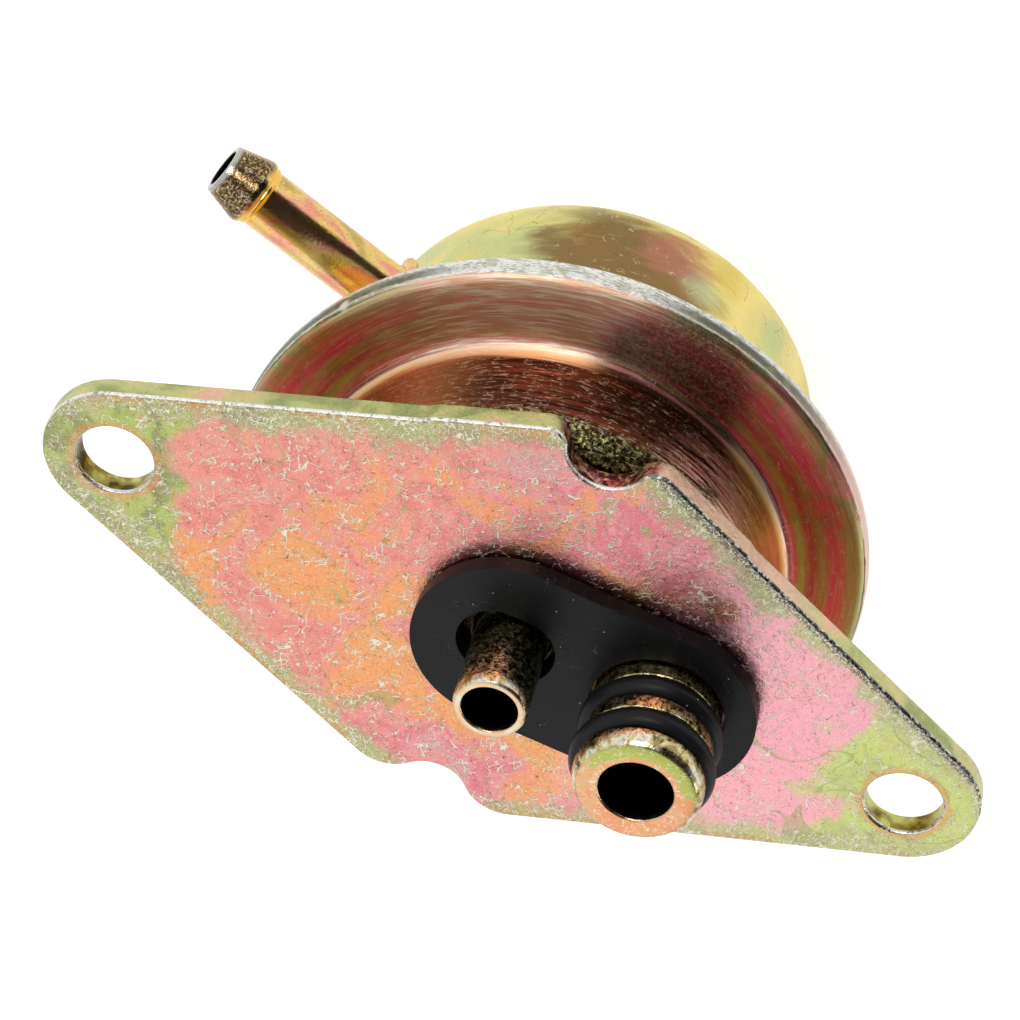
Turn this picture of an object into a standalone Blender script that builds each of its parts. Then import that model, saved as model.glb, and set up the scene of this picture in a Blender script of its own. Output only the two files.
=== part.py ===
"""Fuel pressure regulator with a flange mount, a sealed inlet port and a vacuum nipple.

The regulator stands on the flat end of its spring cover. The origin is the centre of that
end, and +Z runs up the regulator's axis, out of the mounting face along the two fuel
ports. The long axis of the mounting plate is X. Every length is in metres.

Each piece is modelled with its heights counted from the mounting face, and the whole
regulator is then lifted by the depth of the spring cover.
"""
import math

import bmesh
import bpy
from mathutils import Euler, Matrix

# Spacing left between pieces that touch on the real object
SEAT_GAP = 0.00025

# Mounting plate: a diamond with round ends and a round bite at each blunt corner.
# Its -Y sides step out a little beside the bite, its +Y sides are plain.
PLATE_THICKNESS = 0.0022
PLATE_ARRIS = 0.00018
END_CENTRE_X = 0.0347
END_RADIUS = 0.00645
SIDE_ANGLE = 24.0
OUTLINE_Y = -0.0003
STEP_X = 0.0136
STEP_HEIGHT = 0.00022
BITE_RADIUS = 0.0033
BITE_FLOOR_Y = 0.0172
BITE_MOUTH_RADIUS = 0.0016
PLAIN_MOUTH_RADIUS = 0.0038
BOLT_HOLE_X = 0.035
BOLT_HOLE_RADIUS = 0.00325

# Pressed steel sheet of the fuel cup and the spring cover
SHEET = 0.0006
CUP_RADIUS = 0.0198
CUP_CORNER = 0.003
CUP_FLARE = 0.0006
FLANGE_DEPTH = 0.0115
CUP_FILLET = 0.0012
RIM_RADIUS = 0.0273
RIM_CORNER = 0.0009
LIP_WIDTH = 0.0026
COVER_RADIUS = 0.02
COVER_END_DEPTH = 0.0362
COVER_CORNER = 0.0045
COVER_FILLET = 0.0012

# Return tube on the axis, with the valve seat in its inner end
TUBE_TIP_Z = 0.0094
TUBE_RADIUS = 0.00305
TUBE_BORE = 0.00227
TUBE_TIP_ROUND = 0.0004
TUBE_STAND_IN = 0.0009
SEAT_BORE = 0.00115
SEAT_SPIGOT = 0.0016
SEAT_HEAD = 0.0008
SEAT_NOSE_RADIUS = 0.0021
SEAT_NOSE = 0.0024
SEAT_LAND = 0.0004
SEAT_BEVEL = 0.0003

# Inlet port with two seal grooves
PORT_X = -0.01306
PORT_TIP_Z = 0.0114
PORT_RADIUS = 0.00535
PORT_BORE = 0.00303
PORT_TIP_ROUND = 0.0005
PORT_TIP_TAPER = 0.0012
PORT_END_COLLAR = 0.0018
PORT_LAND = 0.0015
PORT_NECK_RADIUS = 0.0039
PORT_STAND_IN = 0.00035
RING_SECTION = 0.001
RING_OUTER = 0.00595
RING_SIDE_PLAY = 0.0004

# Gasket between the plate and the surface that the regulator is bolted to
GASKET_THICKNESS = 0.0016
GASKET_RADIUS = 0.0082
GASKET_SLOT_PLAY = 0.0011

# Vacuum nipple in the side of the spring cover
NIPPLE_DEPTH = 0.0269
NIPPLE_TURN = -16.8
NIPPLE_TIP = 0.0386
NIPPLE_RADIUS = 0.0026
NIPPLE_BORE = 0.0017
NIPPLE_TIP_RADIUS = 0.00225
BARB_RADIUS = 0.00305
BARB_LENGTH = 0.0034
BARB_BEAD = 0.0009
BRAZE_RADIUS = 0.0033
BRAZE_LENGTH = 0.0009
SPIGOT_RADIUS = 0.0022
SPIGOT_STAND_IN = 0.0004

# Diaphragm and the two plates that grip it
DIAPHRAGM_THICKNESS = 0.0003
ROLL_PLAY = 0.0012
ROLL_HALF_ANGLE = 62.0
GRIP_PLATE = 0.0006
GRIP_PLATE_RADIUS = 0.0095
SPRING_PLATE_RADIUS = 0.0118
SPRING_PLATE_CORNER = 0.0011
SPRING_PLATE_RIM = 0.0026

# Valve: holder riveted through the diaphragm, disc, ball, small coil and split ring
DISC_RADIUS = 0.0031
DISC_THICKNESS = 0.0006
BALL_RADIUS = 0.0012
BALL_RECESS = 0.00035
HOLDER_RADIUS = 0.0047
HOLDER_FLANGE_RADIUS = 0.0062
HOLDER_FLANGE = 0.0008
HOLDER_PLAY = 0.0004
HOLDER_LIP = 0.0004
STEM_RADIUS = 0.0022
RIVET_RADIUS = 0.0034
RIVET_HEIGHT = 0.0008
SNAP_RING_RADIUS = 0.00385
SNAP_RING_THICKNESS = 0.0004
SNAP_RING_SPLIT = 0.0016
SMALL_COIL_RADIUS = 0.0029
SMALL_COIL_WIRE = 0.00018
SMALL_COIL_TURNS = 1.5
SMALL_COIL_HEIGHT = 0.0012

# Main spring
SPRING_COIL_RADIUS = 0.0086
SPRING_WIRE = 0.00095
SPRING_TURNS = 6.0
SPRING_CLOSED_TURNS = 0.9

# Fineness of the round pieces
BODY_STEPS = 40
PORT_STEPS = 28
SMALL_STEPS = 20
END_STEPS = 6
BITE_STEPS = 5
GASKET_END_STEPS = 14
GASKET_SLOT_STEPS = 10
COIL_POINTS = 12
RING_SECTION_STEPS = 8
BALL_STEPS = 12
MERGE = 0.00001
SHARP_ANGLE = 30.0

# Heights of the stack, worked out from the mounting face down
CUP_FLOOR_Z = -PLATE_THICKNESS - SEAT_GAP
CRIMP_HEIGHT = 3 * SHEET + DIAPHRAGM_THICKNESS + 3 * SEAT_GAP
FLANGE_Z = -FLANGE_DEPTH
DIAPHRAGM_Z = FLANGE_Z - SHEET - SEAT_GAP
COVER_FLANGE_Z = FLANGE_Z - CRIMP_HEIGHT + SHEET + SEAT_GAP
CRIMP_INNER_RADIUS = RIM_RADIUS - SHEET - SEAT_GAP
GRIP_PLATE_Z = DIAPHRAGM_Z + SEAT_GAP + GRIP_PLATE
HOLDER_FLANGE_Z = GRIP_PLATE_Z + SEAT_GAP + HOLDER_FLANGE
SPRING_PLATE_Z = DIAPHRAGM_Z - DIAPHRAGM_THICKNESS - SEAT_GAP
TUBE_END_Z = CUP_FLOOR_Z - SHEET - TUBE_STAND_IN
SEAT_HEAD_Z = TUBE_END_Z - SEAT_GAP
SEAT_FACE_Z = SEAT_HEAD_Z - SEAT_HEAD - SEAT_NOSE
DISC_Z = SEAT_FACE_Z - SEAT_GAP
BALL_Z = DISC_Z - DISC_THICKNESS + BALL_RECESS - SEAT_GAP - BALL_RADIUS
SNAP_RING_Z = DISC_Z + SMALL_COIL_HEIGHT + 2 * SEAT_GAP + SNAP_RING_THICKNESS
COVER_INNER_RADIUS = COVER_RADIUS - SHEET
ROLL_CENTRE = (COVER_INNER_RADIUS + SPRING_PLATE_RADIUS) / 2
ROLL_RADIUS = (COVER_INNER_RADIUS - SPRING_PLATE_RADIUS) / 2 - ROLL_PLAY
STEM_HOLE_RADIUS = STEM_RADIUS + SEAT_GAP
TUBE_HOLE_RADIUS = TUBE_RADIUS + SEAT_GAP
PORT_HOLE_RADIUS = PORT_NECK_RADIUS + SEAT_GAP
RING_CENTRE_RADIUS = RING_OUTER - RING_SECTION
GROOVE_RADIUS = RING_CENTRE_RADIUS - RING_SECTION - SEAT_GAP
GROOVE_WIDTH = 2 * RING_SECTION + RING_SIDE_PLAY
OUTER_GROOVE_Z = PORT_TIP_Z - PORT_END_COLLAR
INNER_GROOVE_Z = OUTER_GROOVE_Z - GROOVE_WIDTH - PORT_LAND


def clear_scene():
    """Remove what the file opened with."""
    for obj in list(bpy.data.objects):
        bpy.data.objects.remove(obj, do_unlink=True)


def new_collection(name):
    """Make a collection in the scene."""
    collection = bpy.data.collections.new(name)
    bpy.context.scene.collection.children.link(collection)
    return collection


def metal(name, colour, roughness=0.32):
    """Plated steel."""
    return surface(name, colour, roughness, 1.0)


def surface(name, colour, roughness, metallic):
    """Material with one Principled shader."""
    material = bpy.data.materials.new(name)
    material.use_nodes = True
    shader = material.node_tree.nodes["Principled BSDF"]
    shader.inputs["Base Color"].default_value = (*colour, 1.0)
    shader.inputs["Roughness"].default_value = roughness
    shader.inputs["Metallic"].default_value = metallic
    material.diffuse_color = (*colour, 1.0)
    return material


def arc(centre_r, centre_z, radius, start, end, steps):
    """Points of an arc, both ends included, angles in degrees."""
    points = []
    for i in range(steps + 1):
        angle = math.radians(start + (end - start) * i / steps)
        points.append((centre_r + radius * math.cos(angle), centre_z + radius * math.sin(angle)))
    return points


def turned(name, profile, z=0.0, steps=SMALL_STEPS, ring=False, shell=0.0):
    """Turn a profile of (radius, height) points about Z.

    The profile runs down the outer side. A ring closes on itself round an open bore, and
    a shell is a surface that is thickened inwards.
    """
    count = len(profile)
    edges = [(i, i + 1) for i in range(count - 1)]
    if ring:
        edges.append((count - 1, 0))
    mesh = bpy.data.meshes.new(name)
    mesh.from_pydata([(r, 0.0, h) for r, h in profile], edges, [])
    obj = bpy.data.objects.new(name, mesh)
    parts.objects.link(obj)
    obj.location.z = z
    screw = obj.modifiers.new("turn", "SCREW")
    screw.steps = steps
    screw.render_steps = steps
    screw.use_merge_vertices = True
    screw.merge_threshold = MERGE
    screw.use_smooth_shade = True
    if shell:
        solidify = obj.modifiers.new("sheet", "SOLIDIFY")
        solidify.thickness = shell
        solidify.offset = -1.0
        solidify.use_even_offset = True
    return obj


def mesh_from_curve(obj):
    """Turn a curve object into a closed mesh object of the same name."""
    depsgraph = bpy.context.evaluated_depsgraph_get()
    mesh = bpy.data.meshes.new_from_object(obj.evaluated_get(depsgraph))
    weld(mesh)
    name = obj.name
    matrix = obj.matrix_world.copy()
    bpy.data.objects.remove(obj, do_unlink=True)
    solid = bpy.data.objects.new(name, mesh)
    mesh.name = name
    solid.matrix_world = matrix
    parts.objects.link(solid)
    return solid


def weld(mesh):
    """Join the points that a curve leaves doubled at its caps."""
    working = bmesh.new()
    working.from_mesh(mesh)
    bmesh.ops.remove_doubles(working, verts=working.verts, dist=MERGE)
    working.to_mesh(mesh)
    working.free()


def flat_piece(name, outlines, thickness, z, arris=0.0):
    """Flat piece of the given outlines, the first one outside, with chamfered arrises.

    z is its lower face.
    """
    curve = bpy.data.curves.new(name, "CURVE")
    curve.dimensions = "2D"
    curve.fill_mode = "BOTH"
    curve.extrude = thickness / 2 - arris
    curve.bevel_depth = arris
    curve.bevel_resolution = 0
    curve.offset = -arris
    for index, points in enumerate(outlines):
        ordered = points if index == 0 else points[::-1]
        spline = curve.splines.new("POLY")
        spline.points.add(len(ordered) - 1)
        for point, (x, y) in zip(spline.points, ordered):
            point.co = (x, y, 0.0, 1.0)
        spline.use_cyclic_u = True
    obj = bpy.data.objects.new(name, curve)
    parts.objects.link(obj)
    obj.location.z = z + thickness / 2
    bpy.context.view_layer.update()
    return mesh_from_curve(obj)


def circle(centre_x, radius, steps):
    """Outline of a round hole whose centre is on the long axis."""
    return arc(centre_x, 0.0, radius, 0.0, 360.0 * (steps - 1) / steps, steps - 1)


def obround(left_x, right_x, radius, steps):
    """Outline with two round ends on the long axis, counter-clockwise."""
    return arc(right_x, 0.0, radius, -90.0, 90.0, steps) + arc(left_x, 0.0, radius, 90.0, 270.0, steps)


def coil(name, radius, wire, heights, z):
    """Round wire wound about Z. heights gives the wire's centre at even turns of arc."""
    curve = bpy.data.curves.new(name, "CURVE")
    curve.dimensions = "3D"
    curve.bevel_depth = wire
    curve.bevel_resolution = 2
    curve.use_fill_caps = True
    spline = curve.splines.new("POLY")
    spline.points.add(len(heights) - 1)
    for index, height in enumerate(heights):
        angle = 2 * math.pi * index / COIL_POINTS
        x = radius * math.cos(angle)
        y = radius * math.sin(angle)
        spline.points[index].co = (x, y, height, 1.0)
    obj = bpy.data.objects.new(name, curve)
    parts.objects.link(obj)
    obj.location.z = z
    bpy.context.view_layer.update()
    return mesh_from_curve(obj)


def cylinder_cutter(name, radius, length, location, rotation=(0.0, 0.0, 0.0)):
    """Cylinder that cuts a hole."""
    bpy.ops.mesh.primitive_cylinder_add(
        vertices=PORT_STEPS, radius=radius, depth=length, location=location, rotation=rotation)
    return as_cutter(name)


def as_cutter(name):
    """Name the object just added and keep it out of the finished parts."""
    cutter = bpy.context.object
    cutter.name = name
    cutter.display_type = "WIRE"
    cutter.hide_render = True
    move_to(cutter, cutters)
    return cutter


def as_piece(name):
    """Name the object just added and put it with the finished parts."""
    piece = bpy.context.object
    piece.name = name
    move_to(piece, parts)
    return piece


def move_to(obj, collection):
    """Take an object out of every other collection."""
    for former in list(obj.users_collection):
        former.objects.unlink(obj)
    collection.objects.link(obj)


def cut(obj, cutter):
    """Take the cutter's volume out of an object."""
    boolean = obj.modifiers.new(cutter.name, "BOOLEAN")
    boolean.operation = "DIFFERENCE"
    boolean.solver = "EXACT"
    boolean.object = cutter


def outline_side(step, mouth_radius):
    """Half of the plate's outline, from the middle of its +X end over the bite to its -X end."""
    slope = math.radians(SIDE_ANGLE)
    normal_x = math.sin(slope)
    normal_y = math.cos(slope)
    side = END_CENTRE_X * normal_x + END_RADIUS
    raised = side + step
    bite_y = BITE_FLOOR_Y + BITE_RADIUS

    # The mouth's rounding touches both the raised side and the bite
    reach = BITE_RADIUS + mouth_radius
    height_at_axis = (raised - mouth_radius) / normal_y - bite_y
    fall = normal_x / normal_y
    a = 1 + fall ** 2
    b = -2 * fall * height_at_axis
    c = height_at_axis ** 2 - reach ** 2
    mouth_x = (-b + math.sqrt(b ** 2 - 4 * a * c)) / (2 * a)
    mouth_y = bite_y + height_at_axis - fall * mouth_x
    turn = math.degrees(math.atan2(bite_y - mouth_y, -mouth_x))

    quarter = arc(END_CENTRE_X, 0.0, END_RADIUS, 0.0, 90.0 - SIDE_ANGLE, END_STEPS)
    if step:
        quarter.append((STEP_X + step, (side - (STEP_X + step) * normal_x) / normal_y))
        quarter.append((STEP_X, (raised - STEP_X * normal_x) / normal_y))
    quarter += arc(mouth_x, mouth_y, mouth_radius, 90.0 - SIDE_ANGLE, turn, BITE_STEPS)
    quarter += arc(0.0, bite_y, BITE_RADIUS, turn - 180.0, -90.0, BITE_STEPS)[1:]
    return quarter + [(-x, y) for x, y in quarter[-2::-1]]


def plate_outline():
    """Outline of the mounting plate, counter-clockwise from the middle of its +X end."""
    plain = outline_side(0.0, PLAIN_MOUTH_RADIUS)
    stepped = outline_side(STEP_HEIGHT, BITE_MOUTH_RADIUS)
    return plain + [(x, -y) for x, y in stepped[-2:0:-1]]


def mounting_plate():
    """Flat diamond that bolts the regulator down."""
    outlines = [
        [(x, y + OUTLINE_Y) for x, y in plate_outline()],
        circle(BOLT_HOLE_X, BOLT_HOLE_RADIUS, PORT_STEPS),
        circle(-BOLT_HOLE_X, BOLT_HOLE_RADIUS, PORT_STEPS),
        circle(0.0, TUBE_HOLE_RADIUS, SMALL_STEPS),
        circle(PORT_X, PORT_HOLE_RADIUS, PORT_STEPS),
    ]
    plate = flat_piece("mounting_plate", outlines, PLATE_THICKNESS, -PLATE_THICKNESS, PLATE_ARRIS)
    return finish(plate, metal("iridescent_plating", (0.80, 0.52, 0.45)))


def fuel_cup():
    """Pressed bowl whose flange is turned over the rim to crimp the cover and the diaphragm."""
    flange = FLANGE_Z - CUP_FLOOR_Z
    neck = CUP_RADIUS + CUP_FLARE
    rim_centre = RIM_RADIUS - RIM_CORNER
    back = flange - CRIMP_HEIGHT
    profile = [(TUBE_HOLE_RADIUS, 0.0)]
    profile += arc(CUP_RADIUS - CUP_CORNER, -CUP_CORNER, CUP_CORNER, 90.0, 0.0, 3)
    profile += arc(neck + CUP_FILLET, flange + CUP_FILLET, CUP_FILLET, 180.0, 270.0, 2)
    profile += arc(rim_centre, flange - RIM_CORNER, RIM_CORNER, 90.0, 0.0, 2)
    profile += arc(rim_centre, back + RIM_CORNER, RIM_CORNER, 0.0, -90.0, 2)
    profile.append((RIM_RADIUS - LIP_WIDTH, back))
    cup = turned("fuel_cup", profile, CUP_FLOOR_Z, BODY_STEPS, shell=SHEET)
    depth = 4 * (SHEET + CUP_CORNER)
    cut(cup, cylinder_cutter("port_hole_cutter", PORT_HOLE_RADIUS, depth, (PORT_X, 0.0, CUP_FLOOR_Z)))
    return finish(cup, metal("red_bronze_plating", (0.45, 0.22, 0.14)))


def spring_cover():
    """Drawn cup over the main spring, with the hole for the vacuum nipple."""
    end = -COVER_END_DEPTH - COVER_FLANGE_Z
    profile = [(CRIMP_INNER_RADIUS, 0.0)]
    profile += arc(COVER_RADIUS + COVER_FILLET, -COVER_FILLET, COVER_FILLET, 90.0, 180.0, 2)
    profile += arc(COVER_RADIUS - COVER_CORNER, end + COVER_CORNER, COVER_CORNER, 0.0, -90.0, 4)
    profile.append((0.0, end))
    cover = turned("spring_cover", profile, COVER_FLANGE_Z, BODY_STEPS, shell=SHEET)
    turn = math.radians(NIPPLE_TURN)
    place = (COVER_RADIUS * math.cos(turn), COVER_RADIUS * math.sin(turn), -NIPPLE_DEPTH)
    tilt = (0.0, math.pi / 2, turn)
    cut(cover, cylinder_cutter("nipple_hole_cutter", SPIGOT_RADIUS + SEAT_GAP, COVER_RADIUS, place, tilt))
    return finish(cover, metal("olive_yellow_plating", (0.72, 0.66, 0.38)))


def vacuum_nipple():
    """Barbed tube in the side of the cover; its own +Z points away from the axis."""
    base = COVER_RADIUS + SEAT_GAP
    tip = NIPPLE_TIP
    crest = tip - BARB_LENGTH
    inner = COVER_RADIUS - SHEET - SPIGOT_STAND_IN
    profile = [(NIPPLE_TIP_RADIUS, tip), (BARB_RADIUS, crest)]
    profile += [(BARB_RADIUS, crest - BARB_BEAD / 2), (NIPPLE_RADIUS, crest - BARB_BEAD)]
    profile += [(NIPPLE_RADIUS, base + BRAZE_LENGTH), (BRAZE_RADIUS, base)]
    profile += [(SPIGOT_RADIUS, base), (SPIGOT_RADIUS, inner)]
    profile += [(NIPPLE_BORE, inner), (NIPPLE_BORE, tip)]
    nipple = turned("vacuum_nipple", profile, -NIPPLE_DEPTH, PORT_STEPS, ring=True)
    nipple.rotation_euler = Euler((0.0, math.pi / 2, math.radians(NIPPLE_TURN)))
    return finish(nipple, metal("gold_pink_plating", (0.82, 0.62, 0.36), 0.25))


def return_tube():
    """Plain tube on the axis, from outside the plate into the fuel cup."""
    profile = [(TUBE_RADIUS - TUBE_TIP_ROUND, TUBE_TIP_Z), (TUBE_RADIUS, TUBE_TIP_Z - 2 * TUBE_TIP_ROUND)]
    profile += [(TUBE_RADIUS, TUBE_END_Z), (TUBE_BORE, TUBE_END_Z), (TUBE_BORE, TUBE_TIP_Z)]
    tube = turned("return_tube", profile, 0.0, PORT_STEPS, ring=True)
    return finish(tube, metal("brown_gold_plating", (0.55, 0.44, 0.24)))


def inlet_port():
    """Spigot with a groove for each seal ring, its neck through the plate and the cup's floor."""
    end = CUP_FLOOR_Z - SHEET - PORT_STAND_IN
    outer = OUTER_GROOVE_Z
    inner = INNER_GROOVE_Z
    profile = [(PORT_RADIUS - PORT_TIP_ROUND, PORT_TIP_Z), (PORT_RADIUS, PORT_TIP_Z - PORT_TIP_TAPER)]
    for top in (outer, inner):
        profile += [(PORT_RADIUS, top), (GROOVE_RADIUS, top)]
        profile += [(GROOVE_RADIUS, top - GROOVE_WIDTH), (PORT_RADIUS, top - GROOVE_WIDTH)]
    profile += [(PORT_RADIUS, SEAT_GAP), (PORT_NECK_RADIUS, SEAT_GAP)]
    profile += [(PORT_NECK_RADIUS, end), (PORT_BORE, end), (PORT_BORE, PORT_TIP_Z)]
    port = turned("inlet_port", profile, 0.0, PORT_STEPS, ring=True)
    port.location.x = PORT_X
    return finish(port, metal("gold_plating", (0.75, 0.58, 0.30)))


def seal_ring(name, groove_top, rubber):
    """O-ring that sits in the middle of its groove."""
    bpy.ops.mesh.primitive_torus_add(
        major_segments=PORT_STEPS, minor_segments=RING_SECTION_STEPS, major_radius=RING_CENTRE_RADIUS,
        minor_radius=RING_SECTION, location=(PORT_X, 0.0, groove_top - GROOVE_WIDTH / 2))
    return finish(as_piece(name), rubber)


def gasket():
    """Flat rubber gasket on the mounting face, round both ports."""
    outlines = [
        obround(PORT_X, 0.0, GASKET_RADIUS, GASKET_END_STEPS),
        obround(-GASKET_SLOT_PLAY / 2, GASKET_SLOT_PLAY, TUBE_HOLE_RADIUS, GASKET_SLOT_STEPS),
        circle(PORT_X, PORT_RADIUS + SEAT_GAP, PORT_STEPS),
    ]
    pad = flat_piece("gasket", outlines, GASKET_THICKNESS, SEAT_GAP)
    return finish(pad, surface("gasket_rubber", (0.020, 0.021, 0.025), 0.42, 0.0))


def valve_seat():
    """Turned insert in the inner end of the return tube, with a narrow sealing land."""
    spigot = TUBE_BORE - SEAT_GAP
    face = SEAT_FACE_Z - SEAT_HEAD_Z
    profile = [(SEAT_BORE, SEAT_SPIGOT), (spigot, SEAT_SPIGOT), (spigot, 0.0)]
    profile += [(TUBE_RADIUS, 0.0), (TUBE_RADIUS, -SEAT_HEAD), (SEAT_NOSE_RADIUS, -SEAT_HEAD)]
    profile += [(SEAT_NOSE_RADIUS, face + SEAT_BEVEL), (SEAT_BORE + SEAT_LAND, face), (SEAT_BORE, face)]
    seat = turned("valve_seat", profile, SEAT_HEAD_Z, SMALL_STEPS, ring=True)
    return finish(seat, metal("seat_steel", (0.60, 0.60, 0.62), 0.2))


def valve_disc():
    """Flat disc that closes the seat, with a hollow for the ball behind it."""
    hollow = BALL_RADIUS + SEAT_GAP
    far = -DISC_THICKNESS
    edge = math.degrees(math.asin((far - BALL_Z + DISC_Z) / hollow))
    profile = [(0.0, 0.0), (DISC_RADIUS, 0.0), (DISC_RADIUS, far)]
    profile += arc(0.0, BALL_Z - DISC_Z, hollow, edge, 90.0, 4)
    disc = turned("valve_disc", profile, DISC_Z, SMALL_STEPS)
    return finish(disc, metal("disc_steel", (0.62, 0.62, 0.64), 0.18))


def valve_ball():
    """Steel ball on which the disc tilts to lie flat on its seat."""
    bpy.ops.mesh.primitive_uv_sphere_add(
        segments=BALL_STEPS, ring_count=BALL_STEPS // 2, radius=BALL_RADIUS, location=(0.0, 0.0, BALL_Z))
    return finish(as_piece("valve_ball"), metal("ball_steel", (0.66, 0.66, 0.68), 0.12))


def valve_holder():
    """Turned body that carries disc and ball, its stem riveted over the spring plate."""
    socket = BALL_RADIUS + SEAT_GAP
    pocket = DISC_RADIUS + HOLDER_PLAY
    roof = DISC_Z - DISC_THICKNESS - SEAT_GAP
    groove_low = SNAP_RING_Z - SNAP_RING_THICKNESS - SEAT_GAP
    groove_high = SNAP_RING_Z + SEAT_GAP
    groove = SNAP_RING_RADIUS + SEAT_GAP
    skirt = groove_high + HOLDER_LIP
    flange_back = HOLDER_FLANGE_Z - HOLDER_FLANGE
    rivet = SPRING_PLATE_Z - GRIP_PLATE - SEAT_GAP
    profile = arc(0.0, BALL_Z, socket, -90.0, 0.0, 4)
    profile += [(socket, roof), (pocket, roof), (pocket, groove_low), (groove, groove_low)]
    profile += [(groove, groove_high), (pocket, groove_high), (pocket, skirt), (HOLDER_RADIUS, skirt)]
    profile += [(HOLDER_RADIUS, HOLDER_FLANGE_Z), (HOLDER_FLANGE_RADIUS, HOLDER_FLANGE_Z)]
    profile += [(HOLDER_FLANGE_RADIUS, flange_back), (STEM_RADIUS, flange_back)]
    profile += [(STEM_RADIUS, rivet), (RIVET_RADIUS, rivet), (RIVET_RADIUS, rivet - RIVET_HEIGHT / 2)]
    profile += [(STEM_RADIUS, rivet - RIVET_HEIGHT), (0.0, rivet - RIVET_HEIGHT)]
    profile = [(r, h - SEAT_FACE_Z) for r, h in profile]
    holder = turned("valve_holder", profile, SEAT_FACE_Z, SMALL_STEPS)
    return finish(holder, metal("holder_steel", (0.58, 0.57, 0.54)))


def retaining_ring():
    """Split flat ring in the holder's groove, under the small coil."""
    inner = SEAT_NOSE_RADIUS + SEAT_GAP
    profile = [(inner, 0.0), (SNAP_RING_RADIUS, 0.0)]
    profile += [(SNAP_RING_RADIUS, -SNAP_RING_THICKNESS), (inner, -SNAP_RING_THICKNESS)]
    ring = turned("retaining_ring", profile, SNAP_RING_Z, SMALL_STEPS, ring=True)
    bpy.ops.mesh.primitive_cube_add(size=1.0)
    slot = bpy.context.object
    slot.matrix_world = Matrix.LocRotScale(
        (SNAP_RING_RADIUS, 0.0, SNAP_RING_Z), None,
        (2 * SNAP_RING_RADIUS, SNAP_RING_SPLIT, 4 * SNAP_RING_THICKNESS))
    cut(ring, as_cutter("ring_split_cutter"))
    return finish(ring, metal("ring_steel", (0.45, 0.45, 0.47)))


def ball_spring():
    """Small coil between the retaining ring and the disc."""
    rise = SMALL_COIL_HEIGHT - 2 * SMALL_COIL_WIRE
    count = int(COIL_POINTS * SMALL_COIL_TURNS)
    heights = [rise * i / count for i in range(count + 1)]
    z = DISC_Z + SEAT_GAP + SMALL_COIL_WIRE
    small = coil("ball_spring", SMALL_COIL_RADIUS, SMALL_COIL_WIRE, heights, z)
    return finish(small, metal("coil_steel", (0.50, 0.50, 0.52)))


def lower_diaphragm_plate():
    """Flat washer under the diaphragm."""
    profile = [(STEM_HOLE_RADIUS, 0.0), (GRIP_PLATE_RADIUS, 0.0)]
    profile += [(GRIP_PLATE_RADIUS, -GRIP_PLATE), (STEM_HOLE_RADIUS, -GRIP_PLATE)]
    plate = turned("lower_diaphragm_plate", profile, GRIP_PLATE_Z, PORT_STEPS, ring=True)
    return finish(plate, metal("grip_plate_steel", (0.55, 0.55, 0.52)))


def diaphragm():
    """Rubberised sheet clamped in the crimp, with one roll that lets its centre lift."""
    half = math.radians(ROLL_HALF_ANGLE)
    centre_z = ROLL_RADIUS * math.cos(half)
    profile = [(STEM_HOLE_RADIUS, 0.0)]
    profile += arc(ROLL_CENTRE, centre_z, ROLL_RADIUS, 270.0 - ROLL_HALF_ANGLE, 270.0 + ROLL_HALF_ANGLE, 5)
    profile.append((CRIMP_INNER_RADIUS, 0.0))
    sheet = turned("diaphragm", profile, DIAPHRAGM_Z, PORT_STEPS, shell=DIAPHRAGM_THICKNESS)
    return finish(sheet, surface("diaphragm_rubber", (0.03, 0.03, 0.03), 0.7, 0.0))


def spring_plate():
    """Dish on the diaphragm that holds the main spring in the middle."""
    profile = [(STEM_HOLE_RADIUS, 0.0)]
    profile += arc(SPRING_PLATE_RADIUS - SPRING_PLATE_CORNER, -SPRING_PLATE_CORNER,
                   SPRING_PLATE_CORNER, 90.0, 0.0, 2)
    profile.append((SPRING_PLATE_RADIUS, -SPRING_PLATE_RIM))
    dish = turned("spring_plate", profile, SPRING_PLATE_Z, PORT_STEPS, shell=GRIP_PLATE)
    return finish(dish, metal("dish_steel", (0.60, 0.58, 0.50)))


def main_spring():
    """Coil spring with closed ends between the dish and the end of the cover."""
    top = SPRING_PLATE_Z - GRIP_PLATE - SEAT_GAP - SPRING_WIRE
    bottom = -COVER_END_DEPTH + SHEET + SEAT_GAP + SPRING_WIRE
    closed_rise = 2 * SPRING_WIRE + SEAT_GAP
    closed = SPRING_CLOSED_TURNS
    free_turns = SPRING_TURNS - 2 * closed
    free_rise = (top - bottom - 2 * closed * closed_rise) / free_turns
    heights = []
    for index in range(int(COIL_POINTS * SPRING_TURNS) + 1):
        turn = index / COIL_POINTS
        open_turn = min(max(turn - closed, 0.0), free_turns)
        heights.append((turn - open_turn) * closed_rise + open_turn * free_rise)
    spring = coil("main_spring", SPRING_COIL_RADIUS, SPRING_WIRE, heights, bottom)
    return finish(spring, metal("spring_steel", (0.35, 0.35, 0.37)))


def finish(obj, material):
    """Fix the evaluated shape, shade it and give it its material."""
    bpy.context.view_layer.update()
    depsgraph = bpy.context.evaluated_depsgraph_get()
    mesh = bpy.data.meshes.new_from_object(obj.evaluated_get(depsgraph))
    mesh.name = obj.name
    obj.modifiers.clear()
    obj.data = mesh
    mesh.shade_smooth()
    mesh.set_sharp_from_angle(angle=math.radians(SHARP_ANGLE))
    mesh.materials.clear()
    mesh.materials.append(material)
    return obj


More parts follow.
